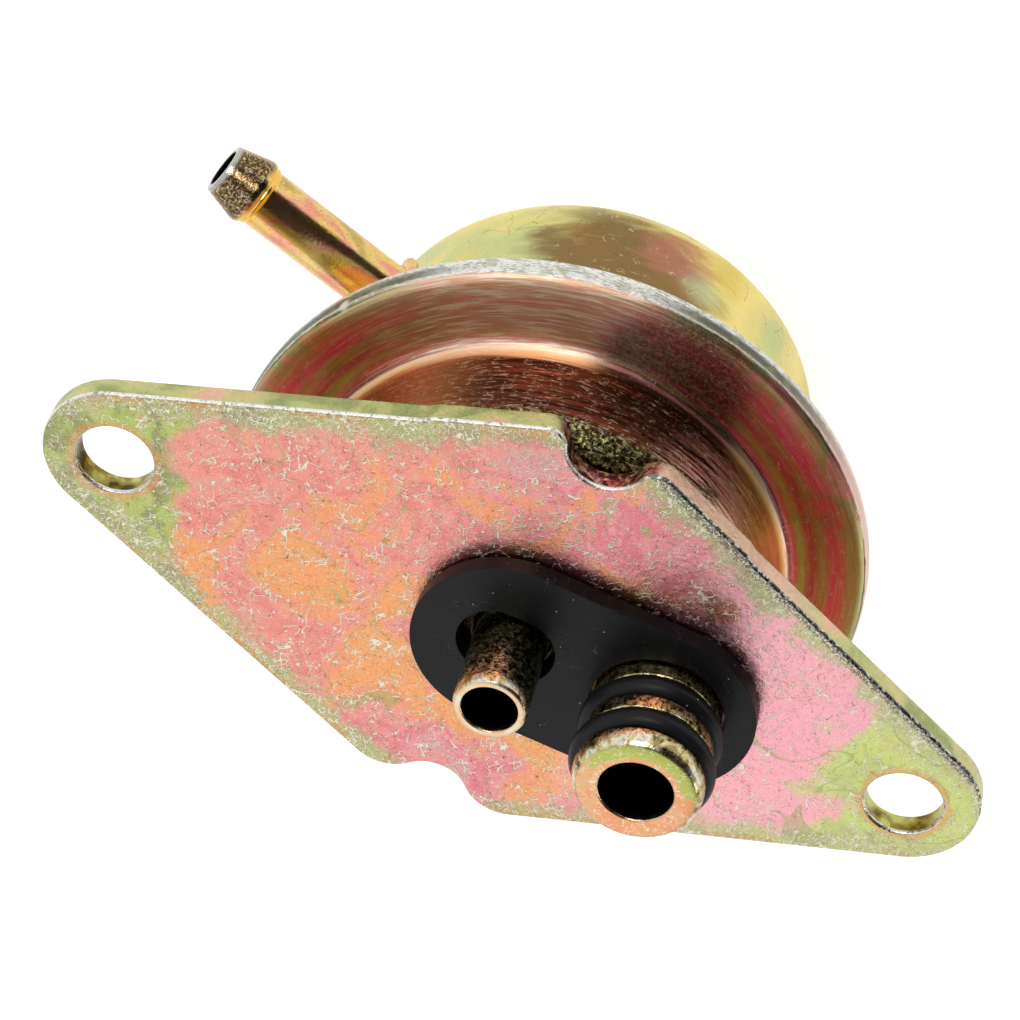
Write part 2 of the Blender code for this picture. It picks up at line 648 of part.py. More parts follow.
def build():
    """Model every piece and hang it on its parent."""
    rubber = surface("seal_rubber", (0.018, 0.018, 0.021), 0.45, 0.0)
    housing = [
        mounting_plate(), fuel_cup(), spring_cover(), vacuum_nipple(), return_tube(), inlet_port(),
        seal_ring("outer_o_ring", OUTER_GROOVE_Z, rubber),
        seal_ring("inner_o_ring", INNER_GROOVE_Z, rubber),
        gasket(), valve_seat(), diaphragm(), main_spring(),
    ]
    valve = [
        valve_holder(), valve_disc(), valve_ball(), ball_spring(), retaining_ring(),
        lower_diaphragm_plate(), spring_plate(),
    ]
    mounting_face = axis_empty("mounting_face", 0.0)
    valve_frame = axis_empty("valve_frame", SEAT_FACE_Z)
    for piece in valve:
        hang(piece, valve_frame)
    for piece in housing + [valve_frame]:
        hang(piece, mounting_face)
    mounting_face.location.z = COVER_END_DEPTH


def axis_empty(name, z):
    """Empty on the regulator's axis."""
    empty = bpy.data.objects.new(name, None)
    parts.objects.link(empty)
    empty.location.z = z
    bpy.context.view_layer.update()
    return empty


def hang(piece, parent):
    """Parent a piece and leave it where it is."""
    placed = piece.matrix_world.copy()
    piece.parent = parent
    piece.matrix_world = placed


clear_scene()
parts = new_collection("fuel_pressure_regulator")
cutters = new_collection("cutters")
build()
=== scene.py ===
"""Looks of the fuel pressure regulator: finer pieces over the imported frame, plated finishes,
studio light and the photograph's camera. Sizes are in millimetres from the mounting face
unless a name says otherwise, and to_frame() puts them in the row frame, in metres.
"""
import math

import bmesh
import bpy
import numpy as np
from mathutils import Matrix, Vector, noise


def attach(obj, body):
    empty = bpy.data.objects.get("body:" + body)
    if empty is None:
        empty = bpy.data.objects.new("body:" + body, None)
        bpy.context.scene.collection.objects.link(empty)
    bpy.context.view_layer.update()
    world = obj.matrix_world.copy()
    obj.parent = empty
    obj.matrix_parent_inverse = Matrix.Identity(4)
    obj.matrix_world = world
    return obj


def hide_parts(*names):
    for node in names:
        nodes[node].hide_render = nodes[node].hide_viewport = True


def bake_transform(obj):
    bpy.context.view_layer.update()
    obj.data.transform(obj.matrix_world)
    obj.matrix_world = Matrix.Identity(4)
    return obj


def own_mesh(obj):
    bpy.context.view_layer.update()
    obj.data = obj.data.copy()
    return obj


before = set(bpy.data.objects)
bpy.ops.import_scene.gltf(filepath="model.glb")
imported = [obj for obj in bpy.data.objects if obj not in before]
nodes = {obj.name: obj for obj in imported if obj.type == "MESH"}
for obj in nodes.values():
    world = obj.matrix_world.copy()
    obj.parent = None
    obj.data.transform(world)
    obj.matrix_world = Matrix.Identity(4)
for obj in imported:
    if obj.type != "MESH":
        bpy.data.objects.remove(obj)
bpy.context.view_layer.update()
scene = bpy.context.scene

LIFT = 36.2          # mounting face above the cover's end
TURN = -16.8         # direction of the nipple about the axis, degrees
NIPPLE_Z = -26.9     # height of the nipple's axis
NIPPLE_WAY = (math.cos(math.radians(TURN)), math.sin(math.radians(TURN)), 0.0)
PORT_X = -13.06      # axis of the inlet port
HOLE_X = 35.0        # axis of each bolt hole
SLOPE = 24.0         # of the plate's straight sides against X, degrees
PLATE = 2.2          # thickness of the plate
PLATE_SHIFT = 0.3    # of the plate's outline towards -Y
SHEET = 0.6          # thickness of the cup and the cover
CLOTH = 0.3          # thickness of the diaphragm
GAP = 0.25           # between pieces that touch on the real object
BOLT_HOLE, TUBE_HOLE, PORT_HOLE = 3.25, 3.3, 4.15
TUBE_END, TUBE_BORE = 9.4, 2.27
PORT_END, PORT_BORE = 11.4, 3.03
GROOVE_TOP = PORT_END - 1.8
GROOVE_WIDTH = 2.4
GROOVE_STEP = 3.9    # from one groove to the next
SEAL_RADIUS, SEAL_WIRE = 4.95, 1.0
SHARP = 34.0         # edges turned more than this many degrees stay sharp
RIM_STEPS = 288
TUBE_STEPS = 96
PORT_STEPS = 128


# Shapes

def to_frame(matrix=Matrix.Identity(4)):
    """Millimetres from the mounting face to metres in the row frame."""
    return Matrix.Scale(0.001, 4) @ Matrix.Translation((0, 0, LIFT)) @ matrix


def arc(cr, cz, radius, start, end, steps):
    """Points of an arc, angles in degrees."""
    out = []
    for i in range(steps + 1):
        a = math.radians(start + (end - start) * i / steps)
        out.append((cr + radius * math.cos(a), cz + radius * math.sin(a)))
    return out


def offset(points, distance):
    """The line moved to its right by a distance, with mitred corners."""
    p = np.array(points, float)
    seg = np.diff(p, axis=0)
    seg /= np.linalg.norm(seg, axis=1)[:, None]
    normal = np.column_stack([seg[:, 1], -seg[:, 0]])
    first = np.vstack([normal[:1], normal])
    last = np.vstack([normal, normal[-1:]])
    mean = first + last
    mean /= np.linalg.norm(mean, axis=1)[:, None]
    scale = distance / (mean * first).sum(1)
    return [tuple(q) for q in p + mean * scale[:, None]]


def sheet_loop(points, thickness):
    """Closed section of a pressed sheet whose outer face follows the points."""
    inner = offset(points, thickness)
    inner = [(max(r, 0.0), z) for r, z in inner]
    return points + inner[::-1]


def eased(points, radius):
    """A closed section with each corner sharper than 20 degrees rounded off."""
    out, steps = [], 3
    count = len(points)
    for i, here in enumerate(points):
        p = Vector(here)
        a = Vector(points[i - 1]) - p
        b = Vector(points[(i + 1) % count]) - p
        turn = math.degrees(a.angle(-b)) if a.length and b.length else 0.0
        if turn < 20 or here[0] < 1e-6:
            out.append(tuple(here))
            continue
        r = min(radius, 0.4 * a.length, 0.4 * b.length)
        start = p + a.normalized() * r
        end = p + b.normalized() * r
        for k in range(steps + 1):
            t = k / steps
            q = start * (1 - t) ** 2 + p * 2 * t * (1 - t) + end * t ** 2
            out.append((q.x, q.y))
    return out


def turned(name, section, steps, matrix=Matrix.Identity(4), warp=None):
    """Closed section of (radius, height) points turned about Z."""
    bm = bmesh.new()
    rings = []
    for r, z in section:
        if r < 1e-6:
            rings.append([bm.verts.new((0, 0, z))])
            continue
        ring = []
        for i in range(steps):
            a = 2 * math.pi * i / steps
            co = Vector((r * math.cos(a), r * math.sin(a), z))
            ring.append(bm.verts.new(warp(co) if warp else co))
        rings.append(ring)
    count = len(rings)
    for k in range(count):
        one, two = rings[k], rings[(k + 1) % count]
        if len(one) == 1 and len(two) == 1:
            continue
        for i in range(steps):
            j = (i + 1) % steps
            if len(one) == 1:
                bm.faces.new((one[0], two[j], two[i]))
            elif len(two) == 1:
                bm.faces.new((one[i], one[j], two[0]))
            else:
                bm.faces.new((one[i], one[j], two[j], two[i]))
    bmesh.ops.recalc_face_normals(bm, faces=bm.faces)
    bm.transform(to_frame(matrix))
    return solid(name, bm, "housing")


def placed(name, data):
    """A new object in the scene."""
    obj = bpy.data.objects.new(name, data)
    scene.collection.objects.link(obj)
    return obj


def mesh_from(name, bm):
    mesh = bpy.data.meshes.new(name)
    bm.to_mesh(mesh)
    bm.free()
    return mesh


def solid(name, bm, body):
    """Object from a mesh, smooth apart from its sharp edges, riding on a body if one is named."""
    obj = placed(name, mesh_from(name, bm))
    obj.data.shade_smooth()
    obj.data.set_sharp_from_angle(angle=math.radians(SHARP))
    if body:
        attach(obj, body)
    return obj


def flat_piece(name, outlines, low, high, round_off):
    """Flat piece with rounded arrises. The first outline is outside, and each runs counter-clockwise."""
    curve = bpy.data.curves.new(name, "CURVE")
    curve.dimensions = "2D"
    curve.fill_mode = "BOTH"
    curve.extrude = (high - low) / 2 - round_off
    curve.bevel_depth = round_off
    curve.bevel_resolution = 3
    curve.offset = -round_off
    for index, points in enumerate(outlines):
        ordered = points if index == 0 else points[::-1]
        spline = curve.splines.new("POLY")
        spline.points.add(len(ordered) - 1)
        for point, (x, y) in zip(spline.points, ordered):
            point.co = (x, y, 0.0, 1.0)
        spline.use_cyclic_u = True
    source = placed(name + "_curve", curve)
    mesh = evaluated_mesh(source)
    bpy.data.objects.remove(source, do_unlink=True)
    bm = bmesh.new()
    bm.from_mesh(mesh)
    bpy.data.meshes.remove(mesh)
    bmesh.ops.remove_doubles(bm, verts=bm.verts, dist=0.002)
    bm.transform(to_frame(Matrix.Translation((0, 0, (low + high) / 2))))
    obj = solid(name, bm, "housing")
    weigh_normals(obj)
    return obj


def weigh_normals(obj):
    """Let the large flat faces set the normals at their borders."""
    modifier = obj.modifiers.new("normals", "WEIGHTED_NORMAL")
    modifier.keep_sharp = True
    modifier.weight = 90
    bake(obj)


def evaluated_mesh(obj):
    bpy.context.view_layer.update()
    depsgraph = bpy.context.evaluated_depsgraph_get()
    return bpy.data.meshes.new_from_object(obj.evaluated_get(depsgraph))


def bake(obj):
    """Apply the modifiers to the mesh."""
    mesh = evaluated_mesh(obj)
    obj.modifiers.clear()
    obj.data = mesh
    mesh.name = obj.name


def drill(obj, radius, length, matrix):
    """Take a round hole out of a piece. The hole runs along the matrix's Z axis."""
    bm = bmesh.new()
    bmesh.ops.create_cone(bm, cap_ends=True, segments=64, radius1=radius, radius2=radius, depth=length)
    bm.transform(to_frame(matrix))
    tool = placed("drill", mesh_from("drill", bm))
    modifier = obj.modifiers.new("hole", "BOOLEAN")
    modifier.operation = "DIFFERENCE"
    modifier.solver = "EXACT"
    modifier.object = tool
    bake(obj)
    bpy.data.objects.remove(tool, do_unlink=True)
    obj.data.set_sharp_from_angle(angle=math.radians(SHARP))


def circle(cx, radius, steps):
    return arc(cx, 0.0, radius, 0.0, 360.0 * (steps - 1) / steps, steps - 1)


def outline_side(step, mouth_r):
    """Half of the frame's plate outline with finer arcs, from its +X end to its -X end."""
    end_x, end_r = 34.7, 6.45
    step_x, bite_r, floor_y = 13.6, 3.3, 17.2
    facing = 90.0 - SLOPE
    nx, ny = math.sin(math.radians(SLOPE)), math.cos(math.radians(SLOPE))
    side = end_x * nx + end_r
    raised = side + step
    bite_y = floor_y + bite_r
    reach = bite_r + mouth_r
    high = (raised - mouth_r) / ny - bite_y
    fall = nx / ny
    a, b, c = 1 + fall ** 2, -2 * fall * high, high ** 2 - reach ** 2
    mouth_x = (-b + math.sqrt(b * b - 4 * a * c)) / (2 * a)
    mouth_y = bite_y + high - fall * mouth_x
    turn = math.degrees(math.atan2(bite_y - mouth_y, -mouth_x))
    quarter = arc(end_x, 0.0, end_r, 0.0, facing, 24)
    if step:
        for along, out in ((2.2, 0.0), (0.6, 0.5), (-1.0, 1.0)):
            x = step_x + along * step
            quarter.append((x, (side + out * step - x * nx) / ny))
    quarter += arc(mouth_x, mouth_y, mouth_r, facing, turn, 16)
    quarter += arc(0.0, bite_y, bite_r, turn - 180.0, -90.0, 14)[1:]
    return quarter + [(-x, y) for x, y in quarter[-2::-1]]


def plate_outline():
    """Plain on the +Y side, stepped beside the bite on the -Y side."""
    plain = outline_side(0.0, 3.8)
    stepped = outline_side(0.22, 1.6)
    whole = plain + [(x, -y) for x, y in stepped[-2:0:-1]]
    return [(x, y - PLATE_SHIFT) for x, y in whole]


def mounting_plate():
    outlines = [plate_outline(), circle(HOLE_X, BOLT_HOLE, 72), circle(-HOLE_X, BOLT_HOLE, 72),
                circle(0.0, TUBE_HOLE, 48), circle(PORT_X, PORT_HOLE, 48)]
    plate = flat_piece("plate_plated", outlines, -PLATE, 0.0, 0.26)
    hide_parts("mounting_plate")
    return plate


def fuel_cup():
    """Pressed bowl and crimped flange, a little uneven as pressed sheet is."""
    top, shoulder = -PLATE - GAP, 3.0
    line = [(TUBE_HOLE, top), (10.0, top)]
    line += arc(16.8, top - shoulder, shoulder, 90.0, 0.0, 12)
    line += [(19.86, -6.6), (20.0, -8.0), (20.2, -9.4)]
    line += arc(21.6, -10.3, 1.2, 180.0, 270.0, 9)
    line += [(22.6, -11.52), (23.8, -11.56), (25.2, -11.54)]
    line += arc(26.38, -12.42, 0.92, 90.0, 0.0, 8)
    line += arc(26.4, -13.45, 0.9, 0.0, -90.0, 8)
    line += [(24.7, -14.35)]

    def uneven(co):
        r = math.hypot(co.x, co.y)
        fade = min(max((r - 8.0) / 6.0, 0.0), 1.0)
        wave = noise.noise(Vector((co.x * 0.11, co.y * 0.11, co.z * 0.05)))
        co.z += 0.03 * wave * fade
        return co

    cup = turned("cup_plated", sheet_loop(line, SHEET), RIM_STEPS, warp=uneven)
    drill(cup, PORT_HOLE, 8.0, Matrix.Translation((PORT_X, 0, -3.0)))
    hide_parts("fuel_cup")
    return cup


def spring_cover():
    flange_z = -11.5 - (3 * SHEET + CLOTH + 3 * GAP) + SHEET + GAP
    line = [(26.45, flange_z), (23.0, flange_z)]
    line += arc(21.2, flange_z - 1.2, 1.2, 90.0, 180.0, 8)
    line += [(20.0, -18.0), (20.0, -22.0), (20.0, -26.0), (20.0, -30.0)]
    line += arc(15.5, -31.7, 4.5, 0.0, -90.0, 14)
    line += [(8.0, -LIFT), (0.0, -LIFT)]
    cover = turned("cover_plated", sheet_loop(line, SHEET), RIM_STEPS)
    drill(cover, 2.45, 6.0, nipple_matrix() @ Matrix.Translation((0, 0, 20.0)))
    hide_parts("spring_cover")
    return cover


def nipple_matrix():
    """Puts +Z along the nipple, out of the cover."""
    turn = Matrix.Rotation(math.radians(TURN), 4, "Z") @ Matrix.Rotation(math.pi / 2, 4, "Y")
    return Matrix.Translation((0, 0, NIPPLE_Z)) @ turn


def vacuum_nipple():
    tip, crest = 38.6, 35.5
    section = [(2.25, tip), (2.42, tip - 0.7), (2.98, crest + 0.25), (3.03, crest), (3.0, crest - 0.3)]
    section += [(2.92, crest - 0.5), (2.72, crest - 0.56), (2.8, crest - 0.75), (2.72, crest - 0.95)]
    section += [(2.6, crest - 1.05), (2.6, 30.0), (2.6, 26.0), (2.6, 22.6), (2.62, 21.6), (2.75, 21.1)]
    section += [(3.05, 20.6), (3.3, 20.25), (2.2, 20.25), (2.2, 19.0), (1.7, 19.0), (1.7, tip)]
    nipple = turned("nipple_plated", eased(section, 0.12), TUBE_STEPS, nipple_matrix())
    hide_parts("vacuum_nipple")
    return nipple


def nipple_braze():
    """Uneven bead of braze round the foot of the nipple."""

    def lumps(co):
        a = math.atan2(co.y, co.x)
        swell = noise.noise(Vector((2.2 * math.cos(a), 2.2 * math.sin(a), co.z * 0.8))) + 0.25
        r = math.hypot(co.x, co.y)
        grow = 1 + 0.16 * swell * (r - 2.3)
        return Vector((co.x * grow, co.y * grow, co.z + 0.25 * swell * (r > 2.9)))

    section = arc(2.75, 20.5, 0.62, -60.0, 170.0, 12) + [(2.3, 20.3), (2.7, 19.98)]
    bead = turned("nipple_braze", section, TUBE_STEPS, nipple_matrix(), warp=lumps)
    return bead


def return_tube():
    wall, foot = 3.05, -3.95
    section = [(2.35, TUBE_END), (2.72, TUBE_END), (2.93, TUBE_END - 0.12), (wall, TUBE_END - 0.5)]
    section += [(wall, 8.0), (wall, 4.0), (wall, 0.0), (wall, foot)]
    section += [(TUBE_BORE, foot), (TUBE_BORE, TUBE_END - 0.2)]
    tube = turned("tube_plated", eased(section, 0.15), TUBE_STEPS)
    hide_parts("return_tube")
    return tube


def inlet_port():
    wall, neck, foot = 5.35, 3.9, -3.4
    groove = SEAL_RADIUS - SEAL_WIRE - GAP
    section = [(3.15, PORT_END), (4.62, PORT_END), (4.9, PORT_END - 0.1), (5.18, PORT_END - 0.5)]
    section += [(wall, PORT_END - 1.2)]
    for top in (GROOVE_TOP, GROOVE_TOP - GROOVE_STEP):
        section += [(wall, top), (groove, top), (groove, top - GROOVE_WIDTH), (wall, top - GROOVE_WIDTH)]
    section += [(wall, GAP), (neck, GAP), (neck, foot), (PORT_BORE, foot), (PORT_BORE, PORT_END - 0.12)]
    port = turned("port_plated", eased(section, 0.16), PORT_STEPS, Matrix.Translation((PORT_X, 0, 0)))
    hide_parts("inlet_port")
    return port


def seal_ring(name, node, groove_top):
    section = arc(SEAL_RADIUS, groove_top - GROOVE_WIDTH / 2, SEAL_WIRE, 0.0, 345.0, 23)
    ring = turned(name, section, PORT_STEPS, Matrix.Translation((PORT_X, 0, 0)))
    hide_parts(node)
    return ring


def gasket():
    slot_r, end_r, thickness = 3.3, 8.2, 1.6
    slot = arc(1.1, 0.0, slot_r, -90.0, 90.0, 24) + arc(-0.55, 0.0, slot_r, 90.0, 270.0, 24)
    outside = arc(0.0, 0.0, end_r, -90.0, 90.0, 40) + arc(PORT_X, 0.0, end_r, 90.0, 270.0, 40)
    outlines = [outside, slot, circle(PORT_X, 5.6, 64)]
    pad = flat_piece("gasket_rubber_pad", outlines, GAP, GAP + thickness, 0.08)
    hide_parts("gasket")
    return pad


def main_spring():
    """The frame's main spring, carried on the housing; on the real part it shortens when the valve lifts.
    """
    bm = bmesh.new()
    bm.from_mesh(nodes["main_spring"].data)
    coil = solid("main_spring_coil", bm, "housing")
    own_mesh(coil)
    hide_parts("main_spring")
    return coil


def diaphragm():
    """The frame's diaphragm cut into equal sectors; it spans between the valve and the crimp."""
    sectors, count = [], 12
    for index in range(count):
        middle = 2 * math.pi * (index + 0.5) / count
        bm = bmesh.new()
        bm.from_mesh(nodes["diaphragm"].data)
        for side in (-1, 1):
            edge = middle + side * math.pi / count
            outward = (-side * math.sin(edge), side * math.cos(edge), 0)
            cut = bmesh.ops.bisect_plane(bm, geom=bm.verts[:] + bm.edges[:] + bm.faces[:], dist=1e-7,
                                         plane_co=(0, 0, 0), plane_no=outward, clear_outer=True)
            rim = [part for part in cut["geom_cut"] if isinstance(part, bmesh.types.BMEdge)]
            bmesh.ops.edgeloop_fill(bm, edges=rim)
        sector = solid(f"diaphragm_sector_{index + 1}", bm, None)
        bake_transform(sector)
        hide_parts("diaphragm")
        sectors.append(sector)
    return sectors


# Finishes

def rgb(r, g, b):
    """Linear colour from 0-255 values as seen."""
    out = []
    for v in (r, g, b):
        v /= 255
        out.append(v / 12.92 if v <= 0.04045 else ((v + 0.055) / 1.055) ** 2.4)
    return (*out, 1.0)


def shade(colour, factor):
    return tuple(factor * c for c in colour[:3]) + (1.0,)


class Paint:
    """A material and short ways to add nodes to it. Its places are millimetres in the row frame."""

    def __init__(self, name, metallic, roughness):
        self.material = bpy.data.materials.new(name)
        self.material.use_nodes = True
        self.tree = self.material.node_tree
        self.shader = self.tree.nodes["Principled BSDF"]
        self.shader.inputs["Metallic"].default_value = metallic
        self.shader.inputs["Roughness"].default_value = roughness
        place = self.add("ShaderNodeTexCoord").outputs["Object"]
        self.mm = self.vector("MULTIPLY", place, (1000.0, 1000.0, 1000.0))

    def add(self, kind, **props):
        node = self.tree.nodes.new(kind)
        for key, value in props.items():
            setattr(node, key, value)
        return node

    def put(self, socket, value):
        if isinstance(value, bpy.types.NodeSocket):
            self.tree.links.new(value, socket)
        elif value is not None:
            socket.default_value = value

    def vector(self, operation, a, b=None):
        node = self.add("ShaderNodeVectorMath", operation=operation)
        self.put(node.inputs[0], a)
        self.put(node.inputs[1], b)
        return node.outputs["Value"] if operation in ("LENGTH", "DISTANCE") else node.outputs["Vector"]

    def math(self, operation, a, b=None, c=None):
        node = self.add("ShaderNodeMath", operation=operation)
        for socket, value in zip(node.inputs, (a, b, c)):
            self.put(socket, value)
        return node.outputs[0]

    def part(self, axis, vector=None):
        node = self.add("ShaderNodeSeparateXYZ")
        self.put(node.inputs[0], vector or self.mm)
        return node.outputs[axis]

    def join(self, x, y, z):
        node = self.add("ShaderNodeCombineXYZ")
        for socket, value in zip(node.inputs, (x, y, z)):
            self.put(socket, value)
        return node.outputs[0]

    def noise(self, scale, detail=2.0, distortion=0.0, vector=None, rough=0.5):
        node = self.add("ShaderNodeTexNoise")
        self.put(node.inputs["Vector"], vector or self.mm)
        node.inputs["Scale"].default_value = scale
        node.inputs["Detail"].default_value = detail
        node.inputs["Roughness"].default_value = rough
        node.inputs["Distortion"].default_value = distortion
        return node.outputs["Fac"]

    def step(self, value, low, high):
        """0 below low and 1 above high, or the other way round if low is above high."""
        node = self.add("ShaderNodeMapRange", interpolation_type="SMOOTHSTEP")
        self.put(node.inputs["Value"], value)
        turned_round = low > high
        node.inputs["From Min"].default_value = min(low, high)
        node.inputs["From Max"].default_value = max(low, high)
        node.inputs["To Min"].default_value = 1.0 if turned_round else 0.0
        node.inputs["To Max"].default_value = 0.0 if turned_round else 1.0
        return node.outputs["Result"]

    def ramp(self, value, stops):
        node = self.add("ShaderNodeValToRGB")
        ramp = node.color_ramp
        ramp.interpolation = "EASE"
        while len(ramp.elements) < len(stops):
            ramp.elements.new(0.5)
        for element, (position, colour) in zip(ramp.elements, stops):
            element.position = position
            element.color = colour
        self.put(node.inputs[0], value)
        return node.outputs["Color"]

    def mix(self, factor, a, b):
        node = self.add("ShaderNodeMix", data_type="RGBA")
        self.put(node.inputs[0], factor)
        self.put(node.inputs[6], a)
        self.put(node.inputs[7], b)
        return node.outputs[2]

    def times(self, first, *others):
        for other in others:
            first = self.math("MULTIPLY", first, other)
        return first

    def most(self, first, *others):
        for other in others:
            first = self.math("MAXIMUM", first, other)
        return first

    def plus(self, base, value, amount):
        return self.math("MULTIPLY_ADD", value, amount, base)

    def sway(self, base, tone, amount):
        """A value moved up and down by a tone that varies round a half."""
        return self.plus(base, self.math("SUBTRACT", tone, 0.5), amount)

    def lay(self, base, top, share, amount):
        """One colour over another, by a share times an amount."""
        return self.mix(self.times(share, amount), base, top)

    def from_axis(self, x, y):
        """Distance from an upright axis."""
        return self.vector("DISTANCE", self.join(self.part(0), self.part(1), 0.0), (x, y, 0.0))

    def moved(self, seed):
        return self.vector("ADD", self.mm, (seed, 1.7 * seed, 0.6 * seed))

    def near(self, point, radius, soft):
        """1 within a distance of a point."""
        return self.step(self.vector("DISTANCE", self.mm, point), radius + soft, radius - soft)

    def lines(self, scale, width, distortion, vector=None):
        """Thin lines where a noise passes through its middle value."""
        value = self.noise(scale, 1.0, distortion, vector)
        off = self.math("ABSOLUTE", self.math("SUBTRACT", value, 0.5))
        return self.step(off, width, width * 0.35)

    def flecks(self, scale, width, share, break_scale, seed, distortion=0.8):
        """Short bits of such lines. A larger share breaks off less of them."""
        moved = self.moved(seed)
        line = self.lines(scale, width, distortion, moved)
        keep = self.step(self.noise(break_scale, 1.0, 0.0, moved), 0.64 - share, 0.69 - share)
        return self.times(line, keep)

    def cracks(self, scale, width, share, break_scale, seed):
        """Short straight bits of the borders between cells. The width is in cells."""
        moved = self.moved(seed)
        bent = self.add("ShaderNodeTexNoise")
        self.put(bent.inputs["Vector"], moved)
        bent.inputs["Scale"].default_value = 0.5
        bent.inputs["Detail"].default_value = 2.0
        bent_mm = self.vector("MULTIPLY_ADD", bent.outputs["Color"], (1.6, 1.6, 1.6))
        self.put(bent_mm.node.inputs[2], moved)
        cells = self.add("ShaderNodeTexVoronoi", feature="DISTANCE_TO_EDGE")
        self.put(cells.inputs["Vector"], bent_mm)
        cells.inputs["Scale"].default_value = scale
        line = self.step(cells.outputs["Distance"], width, width * 0.4)
        keep = self.step(self.noise(break_scale, 2.0, 0.0, moved), 0.66 - share, 0.70 - share)
        return self.times(line, keep)

    def polar(self):
        """Radius, angle times radius and height about the regulator's axis."""
        x, y = self.part(0), self.part(1)
        radius = self.math("SQRT", self.math("ADD", self.math("POWER", x, 2.0), self.math("POWER", y, 2.0)))
        return radius, self.math("ARCTAN2", y, x), self.part(2)

    def bump(self, height, distance, strength):
        node = self.add("ShaderNodeBump")
        node.inputs["Strength"].default_value = strength
        node.inputs["Distance"].default_value = distance
        self.put(node.inputs["Height"], height)
        return node.outputs["Normal"]

    def finish(self, colour, roughness, normal, *objects):
        self.put(self.shader.inputs["Base Color"], colour)
        self.put(self.shader.inputs["Roughness"], roughness)
        self.put(self.shader.inputs["Normal"], normal)
        for obj in objects:
            obj.data.materials.clear()
            obj.data.materials.append(self.material)


ROSE = rgb(222, 128, 136)
PINK = rgb(232, 150, 150)
PALE_PINK = rgb(250, 178, 190)
SALMON = rgb(236, 154, 120)
ORANGE = rgb(238, 166, 106)
LILAC = rgb(216, 158, 156)
GREEN = rgb(172, 188, 104)
MOSS = rgb(150, 154, 104)
CREAM = rgb(232, 224, 196)
BROWN = rgb(138, 92, 66)
STEEL = rgb(200, 200, 194)
BROWN_WALLS = [rgb(34, 32, 22), rgb(84, 80, 56), rgb(144, 142, 102), rgb(214, 210, 168)]
GOLD_WALLS = [rgb(58, 50, 26), rgb(150, 130, 74), rgb(214, 200, 138), rgb(242, 234, 196)]
TUBE_FACE = [rgb(232, 216, 184), rgb(236, 196, 154), rgb(226, 220, 200)]
PORT_FACE = [rgb(232, 160, 116), rgb(226, 176, 128), rgb(180, 186, 96)]


